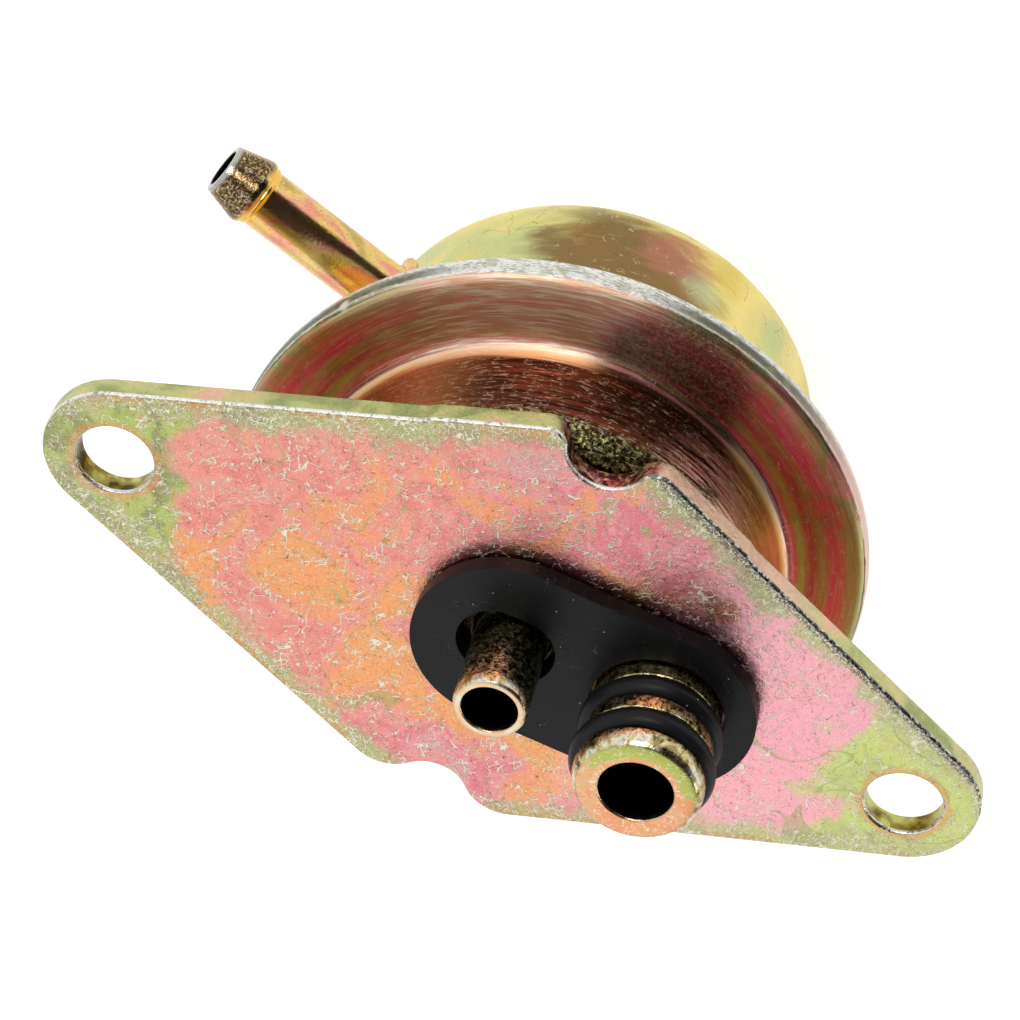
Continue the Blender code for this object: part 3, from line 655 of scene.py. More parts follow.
def plate_finish(obj):
    """Iridescent zinc: pink and orange clouds inside, green towards the ends and the edges."""
    p = Paint("plate_zinc", 1.0, 0.30)
    x, y, z = p.part(0), p.part(1), p.part(2)
    top = LIFT - 0.02
    # from the outline's middle to a straight side, and to a bite's centre
    side_reach, bite_y = 20.56, 20.4
    warp = p.noise(0.16, 3.0, 0.4)
    clouds = p.noise(0.13, 4.0, 0.7)
    fine = p.noise(0.9, 3.0, 0.5)

    # pink against orange, orange kept to two wide areas, pink paler towards the inlet port's end
    left_patch = p.near((16.0, 5.0, LIFT), 8.0, 9.0)
    right_patch = p.near((-6.0, -9.0, LIFT), 3.5, 5.0)
    warm = p.math("MAXIMUM", left_patch, right_patch)
    warm = p.plus(p.plus(clouds, fine, 0.16), warm, 0.17)
    inner = p.ramp(warm, [(0.42, LILAC), (0.48, PINK), (0.56, ROSE), (0.61, PINK), (0.66, SALMON),
                          (0.74, ORANGE)])
    pale = p.step(p.sway(x, warp, 14.0), -7.0, -15.0)
    inner = p.lay(inner, PALE_PINK, pale, 0.85)
    inner = p.lay(inner, rgb(242, 158, 108), p.step(x, 3.0, 12.0), 0.34)

    # distance in from the outline's straight sides and from its ends
    ax = p.math("ABSOLUTE", x)
    ay = p.math("ABSOLUTE", p.math("ADD", y, PLATE_SHIFT))
    sine, cosine = math.sin(math.radians(SLOPE)), math.cos(math.radians(SLOPE))
    along = p.plus(p.times(ay, cosine), ax, sine)
    inside = p.math("SUBTRACT", side_reach, along)
    jag = p.times(p.math("SUBTRACT", fine, 0.5), 2.4)
    wavy = p.math("ADD", p.sway(inside, warp, 6.0), jag)
    ends = p.sway(p.math("SUBTRACT", 30.0, ax), warp, 18.0)
    ends = p.math("ADD", ends, jag)
    zone = p.math("MAXIMUM", p.step(wavy, 2.5, 0.5), p.step(ends, 2.6, -0.8))
    greens = p.ramp(p.noise(0.28, 3.0, 0.8), [(0.4, MOSS), (0.5, GREEN), (0.58, rgb(186, 192, 116)),
                                              (0.68, rgb(200, 172, 116))])
    greens = p.lay(greens, rgb(212, 224, 138), p.step(x, -14.0, -24.0), 0.62)
    colour = p.mix(zone, inner, greens)
    border = p.lines(0.13, 0.010, 0.9)
    colour = p.lay(colour, rgb(160, 168, 104), border, 0.6)

    # an orange ring round each bolt hole, and painted shade round the return tube, dark in the gasket's
    # slot
    for cx in (HOLE_X, -HOLE_X):
        gap = p.from_axis(cx, 0.0)
        ring = p.step(p.sway(gap, fine, 1.6), 4.2, 3.7)
        colour = p.lay(colour, rgb(218, 148, 100), ring, 0.55)
    foot = p.step(p.from_axis(0.3, 0.0), 6.2, 5.4)
    colour = p.mix(foot, colour, rgb(30, 22, 18))

    # brown patch beside the gasket: painted shade and dark reflection of the gasket
    shade_and_stain = p.step(p.sway(p.from_axis(-13.6, -11.2), fine, 3.0), 1.9, 0.8)
    colour = p.lay(colour, rgb(176, 104, 50), shade_and_stain, 0.7)

    # wear: short pale flecks, dense near the edges, and fine brown lines beside them
    worn = p.step(p.math("ADD", wavy, jag), 3.0, 0.6)
    light = p.most(p.cracks(1.15, 0.06, 0.12, 0.55, 3.0), p.flecks(1.3, 0.03, 0.1, 2.0, 11.0, 0.3),
                   p.flecks(1.5, 0.016, 0.1, 1.0, 29.0, 0.5),
                   p.flecks(0.35, 0.0035, 0.05, 0.25, 53.0, 0.3),
                   p.times(p.cracks(2.6, 0.11, 0.2, 2.2, 23.0), worn))
    dark = p.most(p.flecks(2.2, 0.022, 0.10, 1.2, 37.0), p.cracks(1.5, 0.030, 0.09, 0.9, 41.0))
    keep = p.times(p.plus(1.0, pale, -0.15), p.math("SUBTRACT", 1.0, foot))
    light = p.times(light, keep)
    dark = p.times(dark, keep)
    colour = p.lay(colour, rgb(176, 168, 130), worn, 0.45)
    brown_edge = p.times(p.step(inside, 0.9, 0.5), p.step(warp, 0.46, 0.52))
    colour = p.lay(colour, rgb(206, 150, 92), brown_edge, 0.6)
    colour = p.lay(colour, BROWN, dark, 0.8)
    colour = p.lay(colour, rgb(242, 236, 212), light, 0.95)
    grain = p.noise(7.0, 2.0)
    colour = p.mix(p.times(p.step(grain, 0.55, 0.7), 0.24, keep), colour, rgb(250, 238, 214))
    colour = p.lay(colour, rgb(150, 104, 84), p.step(grain, 0.45, 0.32), 0.16)

    # the cut edge is olive; its arris is light grey, painted white in patches as a highlight
    side = p.step(z, top - 0.20, top - 0.42)
    edge_colour = p.ramp(p.noise(0.22, 3.0, 0.5), [(0.38, rgb(160, 168, 108)), (0.50, rgb(194, 196, 132)),
                                                   (0.60, rgb(214, 200, 140)), (0.68, rgb(234, 184, 160))])
    pink_edge = p.times(p.step(x, -2.5, -5.0), p.step(x, -23.0, -17.0))
    edge_colour = p.lay(edge_colour, rgb(244, 190, 178), pink_edge, 0.65)
    colour = p.mix(side, colour, edge_colour)
    for cx in (HOLE_X, -HOLE_X):
        gap = p.from_axis(cx, 0.0)
        wall = p.times(p.step(gap, 3.5, 3.42), side)
        wall_colour = p.ramp(p.noise(0.5, 2.0, 0.3), [(0.36, rgb(74, 58, 28)), (0.48, rgb(150, 136, 64)),
                                                      (0.62, rgb(196, 196, 112))])
        colour = p.mix(wall, colour, wall_colour)
    bite = p.step(p.vector("DISTANCE", p.join(ax, ay, 0.0), (0.0, bite_y, 0.0)), 4.6, 3.6)
    bite_colour = p.ramp(p.noise(1.6, 3.0, 0.6), [(0.4, rgb(70, 44, 30)), (0.5, rgb(178, 84, 92)),
                                                  (0.62, rgb(214, 190, 150))])
    colour = p.mix(p.times(side, bite), colour, bite_colour)
    arris = p.times(p.step(z, top - 0.36, top - 0.22), p.step(z, top + 0.01, top - 0.06))
    rubbed_and_glint = p.noise(2.4, 4.0, 0.4)
    # the arris is painted darker as shade on the -X, -Y side, where a grainy grey band runs along the top
    # face's edge
    shaded_side = p.times(p.step(x, -2.0, -5.0), p.step(y, -1.0, -3.0))
    highlight_share = p.plus(0.36, shaded_side, 0.13)
    arris_highlight = p.step(p.math("SUBTRACT", rubbed_and_glint, highlight_share), 0.0, 0.10)
    band = p.times(p.step(p.plus(inside, rubbed_and_glint, 0.8), 1.25, 0.85), shaded_side)
    band = p.times(band, p.step(z, top - 0.2, top - 0.1))
    band_colour = p.mix(p.step(grain, 0.46, 0.6), rgb(84, 86, 80), rgb(226, 224, 208))
    colour = p.lay(colour, band_colour, band, 0.75)
    arris_shading = p.mix(shaded_side, rgb(176, 174, 160), rgb(86, 90, 86))
    colour = p.mix(arris, colour, p.mix(arris_highlight, arris_shading, p.mix(shaded_side, rgb(240, 240, 232), rgb(208, 208, 196))))

    rough = p.plus(0.22, fine, 0.12)
    rough = p.plus(rough, light, 0.15)
    height = p.plus(p.times(light, 0.7), grain, 0.5)
    height = p.plus(height, p.noise(1.8, 3.0), 0.9)
    p.finish(colour, rough, p.bump(height, 0.00006, 0.6), obj)


def cup_finish(obj):
    """Deep colours in rings, a brown bowl with rubbed streaks, bare scuffed steel on the rim."""
    p = Paint("cup_zinc", 1.0, 0.22)
    radius, angle, z = p.polar()
    travel = p.math("SUBTRACT", radius, p.math("SUBTRACT", z, LIFT))

    def spun(along, across, shift=0.0):
        return p.join(p.times(angle, along), p.times(travel, across), shift)

    drift = p.noise(0.8, 3.0, 0.6, spun(3.0, 2.2))
    streaks = p.noise(1.5, 4.0, 0.3, spun(2.0, 9.0))
    s = p.sway(travel, drift, 1.3)
    s = p.sway(s, streaks, 0.9)
    first, length = 30.0, 12.0    # of the stretch that the ramps below cover
    place = p.math("DIVIDE", p.math("SUBTRACT", s, first), length)

    def at(value):
        return (value - first) / length

    # the gold and pale pink stops at 31.2 and 31.75 are the fillet's painted highlight
    flange = p.ramp(place, [
        (at(30.5), rgb(236, 190, 96)), (at(31.2), rgb(255, 236, 150)), (at(31.75), rgb(255, 212, 184)),
        (at(32.2), rgb(96, 44, 40)), (at(32.7), rgb(236, 96, 122)), (at(33.5), rgb(196, 176, 96)),
        (at(34.3), rgb(206, 80, 88)), (at(35.2), rgb(186, 140, 84)), (at(36.1), rgb(238, 84, 116)),
        (at(36.9), rgb(226, 110, 104)), (at(37.7), rgb(184, 150, 96)), (at(38.3), rgb(172, 140, 92)),
        (at(38.7), rgb(172, 190, 120)), (at(38.95), rgb(70, 58, 40))])
    patch = p.step(p.noise(0.13, 3.0, 0.8), 0.44, 0.60)
    patch_colour = p.ramp(p.noise(0.22, 2.0, 0.5), [(0.42, rgb(230, 90, 84)), (0.52, rgb(150, 132, 70)),
                                                    (0.62, rgb(240, 104, 130))])
    on_flange = p.step(travel, 32.2, 33.2)
    flange = p.mix(p.times(patch, 0.5, on_flange), flange, patch_colour)
    pits = p.step(p.noise(3.2, 3.0, 0.6), 0.42, 0.62)
    # pale streaks, most of them near (11, -22), and the flange paler there: a painted highlight over real
    # streaks
    pale = p.noise(1.2, 4.0, 0.4, spun(6.0, 3.4, 4.0))
    highlit_top = p.step(p.from_axis(11.0, -22.0), 17.0, 5.0)
    pale = p.times(p.step(pale, 0.46, 0.62), p.plus(0.1, highlit_top, 0.85))
    flange = p.lay(flange, rgb(250, 196, 166), highlit_top, 0.6)
    flange = p.mix(pale, flange, rgb(252, 226, 202))
    # the flange's front painted dark with pits, as shade and dark reflection
    shaded_front = p.step(p.from_axis(-3.0, -21.5), 8.0, 4.5)
    flange = p.lay(flange, p.mix(pits, rgb(52, 28, 26), rgb(150, 92, 80)), shaded_front, 0.75)

    # the bowl is painted darkest at its front, between the plate's two bites, and darker near (17, -11):
    # painted shade and dark reflection
    front = p.step(p.from_axis(1.0, -20.0), 16.5, 9.0)
    bowl_tone = p.noise(0.9, 4.0, 0.5, spun(2.5, 3.0))
    bowl = p.ramp(bowl_tone, [(0.36, rgb(206, 146, 84)), (0.48, rgb(190, 160, 92)),
                              (0.58, rgb(214, 130, 96)), (0.68, rgb(222, 178, 110))])
    shaded_bowl = p.ramp(bowl_tone, [(0.36, rgb(40, 22, 14)), (0.5, rgb(74, 42, 26)),
                                   (0.62, rgb(112, 54, 34)), (0.72, rgb(66, 44, 30))])
    shaded_left = p.step(p.from_axis(17.0, -11.0), 12.0, 6.0)
    bowl = p.lay(bowl, rgb(136, 76, 46), shaded_left, 0.5)
    bowl = p.mix(front, bowl, shaded_bowl)
    # painted gold highlight on the bowl's -X side near the plate
    gold_glint = p.times(p.near((-14.0, -14.2, LIFT - 9.0), 4.0, 2.5), p.step(bowl_tone, 0.36, 0.56))
    bowl = p.lay(bowl, rgb(236, 196, 100), gold_glint, 0.85)
    is_bowl = p.step(s, 31.0, 30.0)
    # painted reflection on the fillet's front: dark with a pink line
    fillet_reflection_front = p.step(p.from_axis(-4.0, -20.2), 8.0, 5.0)
    fillet_reflection_front = p.times(fillet_reflection_front, p.step(travel, 32.6, 32.0))
    fillet_reflection = p.ramp(place, [(at(30.9), rgb(70, 40, 24)), (at(31.4), rgb(190, 116, 122)),
                            (at(31.8), rgb(64, 34, 34)), (at(32.2), rgb(150, 128, 70))])
    flange = p.lay(flange, fillet_reflection, fillet_reflection_front, 0.85)
    colour = p.mix(is_bowl, flange, bowl)

    # dark olive shoulder under the plate: painted shade and dark reflection, with speckle
    shoulder = p.step(travel, 24.6, 22.8)
    speckle = p.noise(3.0, 3.0, 0.4)
    olive = p.ramp(speckle, [(0.40, rgb(28, 26, 16)), (0.52, rgb(88, 86, 46)), (0.62, rgb(196, 190, 128))])
    colour = p.lay(colour, olive, shoulder, 0.9)

    # silvery rubbed streaks along the turn, more on the bowl
    # a paler pink patch on the bowl near the plate, with more streaks: partly painted sheen, partly scuffs
    sheen_and_scuffs = p.times(p.near((-9.5, -17.5, LIFT - 4.2), 4.5, 2.5), is_bowl)
    colour = p.mix(p.times(sheen_and_scuffs, p.step(bowl_tone, 0.4, 0.56)), colour, rgb(232, 158, 140))
    rubbed_and_glint = p.noise(2.0, 4.0, 0.9, spun(9.0, 1.9), 0.62)
    share = p.plus(0.22, is_bowl, 0.3)
    share = p.plus(share, sheen_and_scuffs, 0.3)
    rub = p.times(p.step(rubbed_and_glint, 0.55, 0.66), share)
    colour = p.mix(rub, colour, rgb(212, 186, 164))
    light = p.most(p.flecks(2.6, 0.016, 0.08, 1.6, 5.0, 0.3), p.flecks(0.3, 0.0022, 0.03, 0.2, 47.0, 0.3))
    colour = p.lay(colour, CREAM, light, 0.55)

    # the rim's corner has lost its colour; on it a highlight is painted towards the front, and along its
    # edge nearest the cover by the ramp's last stop
    corner = p.sway(travel, p.noise(0.7, 3.0), 0.5)
    bare = p.times(p.step(corner, 38.95, 39.2), p.step(corner, 42.6, 41.6))
    lit = p.step(p.from_axis(9.0, -25.5), 13.0, 6.0)
    soft_pits = p.noise(4.2, 3.0, 0.8, spun(14.0, 1.6, 2.0))
    across = p.sway(travel, soft_pits, 0.7)
    rim = p.ramp(p.math("DIVIDE", p.math("SUBTRACT", across, 38.5), 3.0), [
        (0.14, rgb(214, 206, 180)), (0.26, rgb(226, 224, 208)), (0.34, rgb(112, 112, 98)),
        (0.52, rgb(92, 96, 92)), (0.62, rgb(150, 152, 140)), (0.70, rgb(236, 238, 232))])
    rim = p.lay(rim, rgb(250, 250, 244), lit, 0.85)
    steel = p.lay(rim, rgb(84, 84, 70), p.step(soft_pits, 0.5, 0.4), 0.55)
    steel = p.lay(steel, rgb(150, 156, 104), p.step(p.noise(0.8, 3.0, 0.4), 0.53, 0.62), 0.45)
    tint = p.step(p.part(0), -10.0, -24.0)
    steel = p.lay(steel, rgb(252, 214, 200), tint, 0.85)
    colour = p.lay(colour, steel, bare, 0.95)
    # one nick in the rim
    nick = p.near((22.9, -14.2, LIFT - 12.3), 0.55, 0.2)
    colour = p.mix(nick, colour, rgb(220, 220, 200))

    rough = p.plus(0.3, streaks, 0.16)
    rough = p.plus(rough, is_bowl, -0.14)
    rough = p.plus(rough, rub, 0.25)
    height = p.plus(p.times(soft_pits, 0.6), streaks, 0.9)
    p.finish(colour, rough, p.bump(height, 0.00005, 0.5), obj)


def cover_finish(obj):
    """Yellow with cyan-green clouds and one pink-brown sweep."""
    p = Paint("cover_zinc", 1.0, 0.26)
    angle, z = p.polar()[1:]
    clouds = p.noise(0.06, 2.0, 0.3)
    colour = p.ramp(clouds, [(0.36, rgb(236, 212, 112)), (0.46, rgb(252, 234, 146)),
                             (0.56, rgb(238, 224, 142)), (0.62, rgb(204, 214, 150)),
                             (0.7, rgb(240, 214, 112))])
    sweep_tone = p.noise(0.9, 3.0, 0.5, p.join(p.times(angle, 4.0), 0.0, p.times(z, 0.6)))
    front = p.vector("DISTANCE", p.mm, (3.5, -19.5, 10.5))
    sweep = p.step(p.sway(front, sweep_tone, 9.0), 10.5, 5.0)
    colour = p.lay(colour, rgb(132, 96, 50), sweep, 0.9)
    blush = p.vector("DISTANCE", p.mm, (-1.0, -19.7, 6.8))
    sweep = p.step(p.sway(blush, sweep_tone, 9.0), 5.0, 1.5)
    colour = p.lay(colour, rgb(202, 128, 112), sweep, 0.6)
    cool = p.times(p.near((-3.8, -19.6, 9.3), 1.6, 1.4), 0.6)
    colour = p.mix(cool, colour, rgb(186, 206, 170))
    along = p.noise(1.3, 4.0, 0.3, p.join(p.times(angle, 9.0), 0.0, p.times(z, 1.6)))
    rub = p.step(along, 0.60, 0.72)
    colour = p.lay(colour, rgb(214, 200, 168), rub, 0.35)
    hair = p.cracks(0.35, 0.012, 0.14, 0.3, 9.0)
    colour = p.lay(colour, rgb(166, 104, 66), hair, 0.7)
    light = p.cracks(1.8, 0.06, 0.06, 0.9, 15.0)
    colour = p.lay(colour, CREAM, light, 0.6)
    rough = p.plus(0.18, along, 0.22)
    height = p.plus(p.noise(5.0, 2.0), along, 0.6)
    p.finish(colour, rough, p.bump(height, 0.00003, 0.4), obj)


def nipple_finish(*objects):
    """Gold and pink in bands along the tube, mottled dark on the barb."""
    p = Paint("nipple_zinc", 1.0, 0.2)
    axis_z = LIFT + NIPPLE_Z
    out = p.vector("DISTANCE", p.mm, (0.0, 0.0, axis_z))
    way = p.join(p.times(out, 0.25), p.part(1), p.part(2))
    clouds = p.noise(0.30, 3.0, 0.4, way)
    colour = p.ramp(clouds, [(0.36, rgb(240, 196, 116)), (0.47, rgb(242, 164, 140)),
                             (0.55, rgb(240, 206, 130)), (0.66, rgb(204, 174, 100))])
    soot = p.noise(5.0, 3.0, 0.3)
    colour = p.lay(colour, rgb(110, 84, 56), p.step(soot, 0.56, 0.68), 0.35)
    barb = p.step(p.sway(out, p.noise(0.9, 3.0), 0.9), 35.2, 35.8)
    mottle = p.ramp(p.noise(4.5, 3.0, 0.9), [(0.40, rgb(34, 28, 18)), (0.50, rgb(84, 68, 46)),
                                             (0.60, rgb(176, 150, 108)), (0.72, rgb(224, 208, 168))])
    # the barb's lower side painted lighter, as the bright floor's reflection
    lit_underside = p.step(p.sway(p.part(2), p.noise(0.8, 3.0), 1.6), axis_z - 0.4, axis_z - 1.2)
    mottle = p.lay(mottle, rgb(206, 184, 146), lit_underside, 0.7)
    colour = p.lay(colour, mottle, barb, 0.93)
    tip = p.step(out, 38.1, 38.5)
    colour = p.lay(colour, STEEL, tip, 0.8)
    bead = p.times(p.step(out, 34.3, 34.5), p.step(out, 35.3, 35.1))
    colour = p.mix(bead, colour, rgb(252, 198, 100))
    colour = p.lay(colour, CREAM, p.cracks(1.2, 0.05, 0.05, 1.0, 7.0), 0.7)
    # inside of the bore, painted dark as shade
    across = p.vector("CROSS_PRODUCT", p.vector("SUBTRACT", p.mm, (0.0, 0.0, axis_z)), NIPPLE_WAY)
    bore_shade = p.step(p.vector("LENGTH", across), 1.78, 1.72)
    colour = p.mix(bore_shade, colour, rgb(34, 24, 16))
    spots = p.noise(4.5, 3.0, 0.4)
    rough = p.plus(0.08, spots, 0.2)
    p.finish(colour, rough, p.bump(spots, 0.00004, 0.35), *objects)


def port_finish(name, axis_x, bore_radius, tip_z, worn, walls, face_stops, *objects):
    """Brown mottling on the walls, a worn tip, and its own colours on the end face."""
    p = Paint(name, 1.0, 0.26)
    x, y = p.part(0), p.part(1)
    z = p.math("SUBTRACT", p.part(2), LIFT)
    mottle = p.noise(2.3, 4.0, 0.6, None, 0.6)
    colour = p.ramp(mottle, [(0.38, walls[0]), (0.46, walls[1]), (0.53, walls[2]), (0.6, walls[3]),
                             (0.7, walls[1])])
    across = p.from_axis(axis_x, 0.0)

    # the face is orange, with a green arc on its -Y side
    tone = p.noise(0.7, 3.0, 0.4)
    lean = p.sway(p.times(y, -1.0), tone, 7.0)
    arc_share = p.times(p.step(lean, 0.6, 2.2), p.step(across, bore_radius + 0.35, bore_radius + 0.8))
    face = p.mix(p.step(tone, 0.42, 0.58), face_stops[0], face_stops[1])
    face = p.mix(arc_share, face, face_stops[2])
    face = p.lay(face, CREAM, p.flecks(1.6, 0.03, 0.12, 1.8, 31.0, 0.3), 0.85)
    on_face = p.step(z, tip_z - 0.16, tip_z - 0.05)
    colour = p.mix(on_face, colour, face)

    edge = p.times(p.step(z, tip_z - worn, tip_z - worn + 0.25), p.step(z, tip_z - 0.02, tip_z - 0.16))
    wear = p.ramp(p.noise(1.1, 4.0, 0.5, p.join(x, y, p.times(z, 0.5))),
                  [(0.34, rgb(64, 54, 38)), (0.43, rgb(158, 138, 88)), (0.5, rgb(214, 196, 140)),
                   (0.58, rgb(240, 236, 222)), (0.68, rgb(186, 180, 160))])
    colour = p.lay(colour, wear, edge, 0.9)
    colour = p.lay(colour, CREAM, p.cracks(2.4, 0.08, 0.12, 1.4, 19.0), 0.6)
    # the bore's inside painted dark as shade
    bore_shade = p.times(p.step(across, bore_radius + 0.06, bore_radius + 0.03),
                   p.step(z, tip_z - 0.1, tip_z - 0.9))
    colour = p.mix(bore_shade, colour, rgb(26, 19, 12))
    turning = p.noise(1.0, 2.0, 0.0, p.join(x, 0.0, p.times(z, 14.0)))
    rough = p.plus(0.14, mottle, 0.22)
    height = p.plus(p.noise(4.0, 3.0), turning, 0.5)
    p.finish(colour, rough, p.bump(height, 0.00005, 0.5), *objects)


def rubber_finish(name, colour, roughness, marks, *objects):
    """Black rubber with faint moulding grain, light dust and, on the gasket, small nicks."""
    p = Paint(name, 0.0, roughness)
    p.shader.inputs["Specular IOR Level"].default_value = 0.22
    cloud = p.noise(0.25, 3.0)
    base = p.lay(colour, shade(colour, 2.0), p.step(cloud, 0.35, 0.7), 0.6)
    cells = p.add("ShaderNodeTexVoronoi", feature="F1")
    p.put(cells.inputs["Vector"], p.mm)
    cells.inputs["Scale"].default_value = 1.15
    speck = p.step(cells.outputs["Distance"], 0.085, 0.050)
    rare = p.step(p.part(0, cells.outputs["Color"]), 0.60, 0.62)
    base = p.lay(base, rgb(190, 188, 180), p.times(speck, rare), 0.8)
    grain = p.noise(6.0, 3.0)
    height = p.times(grain, 0.5)
    if marks:
        nick_place = p.vector("MULTIPLY", p.mm, (0.8, 2.6, 1.0))
        nick = p.lines(0.7, 0.012, 0.8, nick_place)
        nick = p.times(nick, p.step(p.noise(0.35, 1.0), 0.6, 0.66))
        height = p.plus(height, nick, -1.4)
        hair = p.flecks(0.5, 0.004, 0.10, 0.3, 61.0, 0.6)
        base = p.lay(base, rgb(120, 118, 116), hair, 0.3)
    rough = p.plus(roughness - 0.08, cloud, 0.16)
    p.finish(base, rough, p.bump(height, 0.00004, 0.5), *objects)


def steel_finish(name, colour, roughness, *objects):
    """Turned or drawn steel for the pieces inside."""
    p = Paint(name, 1.0, roughness)
    rings = p.noise(1.0, 3.0, 0.2, p.join(0.0, 0.0, p.times(p.part(2), 11.0)))
    shade_and_stain = p.noise(0.5, 3.0, 0.6)
    base = p.lay(colour, shade(colour, 0.6), p.step(shade_and_stain, 0.45, 0.7), 0.5)
    rough = p.plus(roughness - 0.05, shade_and_stain, 0.2)
    p.finish(base, rough, p.bump(rings, 0.00002, 0.4), *objects)


def cloth_rubber_finish(name, *objects):
    """Rubberised fabric of the diaphragm."""
    p = Paint(name, 0.0, 0.6)
    warp = p.math("SINE", p.times(p.part(0), 12.0))
    weft = p.math("SINE", p.times(p.part(1), 12.0))
    weave = p.times(warp, weft)
    tone = p.mix(p.noise(0.4, 3.0), rgb(38, 37, 36), rgb(62, 60, 56))
    rough = p.plus(0.5, p.noise(2.0, 2.0), 0.2)
    p.finish(tone, rough, p.bump(weave, 0.00003, 0.6), *objects)


# Camera, light and floor

def place_camera():
    """The camera solved from the bolt holes, the ports and the rim."""
    data = bpy.data.cameras.new("camera")
    focal_pixels, picture_pixels = 3355.3, 1020
    data.sensor_width = 36.0
    data.lens = focal_pixels / picture_pixels * data.sensor_width
    data.clip_start = 0.005
    camera = placed("camera", data)
    right = Vector((-0.91286, -0.355074, -0.201517))
    up = Vector((0.400696, -0.68453, -0.608984))
    back = right.cross(up)
    matrix = Matrix.Identity(4)
    for column, axis in enumerate((right, up, back)):
        matrix.col[column][:3] = axis
    matrix.col[3][:3] = (0.0255031, -0.179724, 0.2023107 + LIFT / 1000)
    camera.matrix_world = matrix
    scene.camera = camera


def lamp(name, direction, distance, size, radiance):
    """Square soft light that faces the object."""
    data = bpy.data.lights.new(name, "AREA")
    data.shape = "SQUARE"
    data.size = size
    data.energy = radiance * math.pi * size ** 2
    obj = placed(name, data)
    way = Vector(direction).normalized()
    obj.location = way * distance + Vector((0, 0, 0.025))
    obj.rotation_euler = way.to_track_quat("Z", "Y").to_euler()


def studio():
    """Pale room, darker in one quarter as behind a camera, with three soft lights."""
    dark_way = Vector((-0.56, -0.52, 0.64)).normalized()
    dark_starts, dark_full = 0.58, 0.76    # cosines of the angle to dark_way
    world = bpy.data.worlds.new("studio")
    scene.world = world
    world.use_nodes = True
    tree = world.node_tree
    tree.nodes.clear()
    new = tree.nodes.new
    output = new("ShaderNodeOutputWorld")
    path = new("ShaderNodeLightPath")
    place = new("ShaderNodeTexCoord")
    toward = new("ShaderNodeVectorMath")
    toward.operation = "DOT_PRODUCT"
    toward.inputs[1].default_value = dark_way
    tree.links.new(place.outputs["Generated"], toward.inputs[0])
    level = new("ShaderNodeMapRange")
    level.interpolation_type = "SMOOTHSTEP"
    limits = {"From Min": dark_starts, "From Max": dark_full, "To Min": 1.0, "To Max": 0.03}
    for name, value in limits.items():
        level.inputs[name].default_value = value
    tree.links.new(toward.outputs["Value"], level.inputs["Value"])
    room = new("ShaderNodeBackground")
    tree.links.new(level.outputs["Result"], room.inputs["Strength"])
    white = new("ShaderNodeBackground")
    white.inputs["Strength"].default_value = 1.0
    mix = new("ShaderNodeMixShader")
    tree.links.new(path.outputs["Is Camera Ray"], mix.inputs[0])
    tree.links.new(room.outputs[0], mix.inputs[1])
    tree.links.new(white.outputs[0], mix.inputs[2])
    tree.links.new(mix.outputs[0], output.inputs["Surface"])
    room.inputs["Color"].default_value = (0.86, 0.87, 0.88, 1)
    white.inputs["Color"].default_value = (1, 1, 1, 1)
    lamp("light_above_camera", (0.30, -0.76, 0.58), 0.6, 0.24, 4.5)
    lamp("light_behind", (0.0, 0.72, 0.68), 0.6, 0.5, 0.25)
    lamp("light_side", (-0.95, 0.1, 0.35), 0.6, 0.15, 4.0)


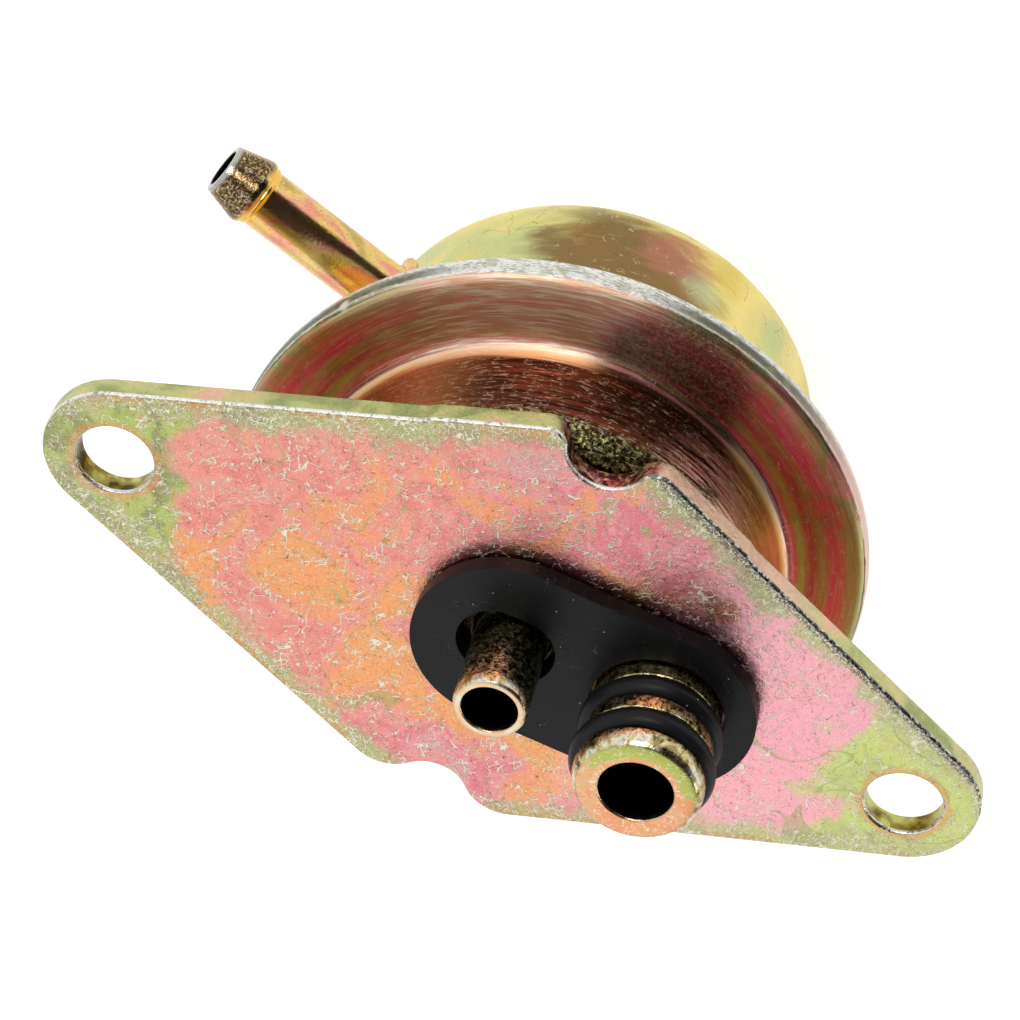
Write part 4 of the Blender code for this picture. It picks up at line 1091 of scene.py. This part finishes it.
def floor():
    """Pale floor, white to the camera apart from the object's soft shadow."""
    half, camera_glow, mirror_glow = 3.0, 0.72, 0.50
    corners = [(-half, -half, 0), (half, -half, 0), (half, half, 0), (-half, half, 0)]
    mesh = bpy.data.meshes.new("floor")
    mesh.from_pydata(corners, [], [(0, 1, 2, 3)])
    obj = placed("floor", mesh)
    obj.location.z = -0.0001
    material = bpy.data.materials.new("floor_white")
    material.use_nodes = True
    tree = material.node_tree
    shader = tree.nodes["Principled BSDF"]
    shader.inputs["Base Color"].default_value = (0.70, 0.70, 0.70, 1)
    shader.inputs["Roughness"].default_value = 0.9
    shader.inputs["Specular IOR Level"].default_value = 0.0
    path = tree.nodes.new("ShaderNodeLightPath")
    glow = tree.nodes.new("ShaderNodeMath")
    glow.operation = "MULTIPLY_ADD"
    glow.inputs[1].default_value = camera_glow
    mirrored = tree.nodes.new("ShaderNodeMath")
    mirrored.operation = "MULTIPLY"
    mirrored.inputs[1].default_value = mirror_glow
    tree.links.new(path.outputs["Is Camera Ray"], glow.inputs[0])
    tree.links.new(path.outputs["Is Glossy Ray"], mirrored.inputs[0])
    tree.links.new(mirrored.outputs[0], glow.inputs[2])
    shader.inputs["Emission Color"].default_value = (1, 1, 1, 1)
    tree.links.new(glow.outputs[0], shader.inputs["Emission Strength"])
    mesh.materials.append(material)


# The scene

place_camera()
plate_finish(mounting_plate())
cup_finish(fuel_cup())
cover_finish(spring_cover())
nipple_finish(vacuum_nipple(), nipple_braze())
port_finish("tube_zinc", 0.0, TUBE_BORE, TUBE_END, 1.05, BROWN_WALLS, TUBE_FACE, return_tube())
port_finish("port_zinc", PORT_X, PORT_BORE, PORT_END, 1.3, GOLD_WALLS, PORT_FACE, inlet_port())
rubber_finish("seal_black", rgb(18, 18, 20), 0.40, False,
              seal_ring("seal_outer", "outer_o_ring", GROOVE_TOP),
              seal_ring("seal_inner", "inner_o_ring", GROOVE_TOP - GROOVE_STEP))
rubber_finish("gasket_black", rgb(15, 15, 17), 0.40, True, gasket())
cloth_rubber_finish("diaphragm_cloth", *diaphragm())
steel_finish("spring_wire", rgb(150, 148, 146), 0.3,
             main_spring(), nodes["ball_spring"], nodes["retaining_ring"])
steel_finish("turned_steel", rgb(200, 198, 194), 0.22,
             nodes["valve_seat"], nodes["valve_holder"], nodes["valve_disc"])
steel_finish("ball_bright", rgb(214, 214, 216), 0.12, nodes["valve_ball"])
steel_finish("pressed_steel", rgb(190, 184, 160), 0.32,
             nodes["lower_diaphragm_plate"], nodes["spring_plate"])

studio()
floor()
scene.view_settings.view_transform = "Standard"

bpy.context.view_layer.update()
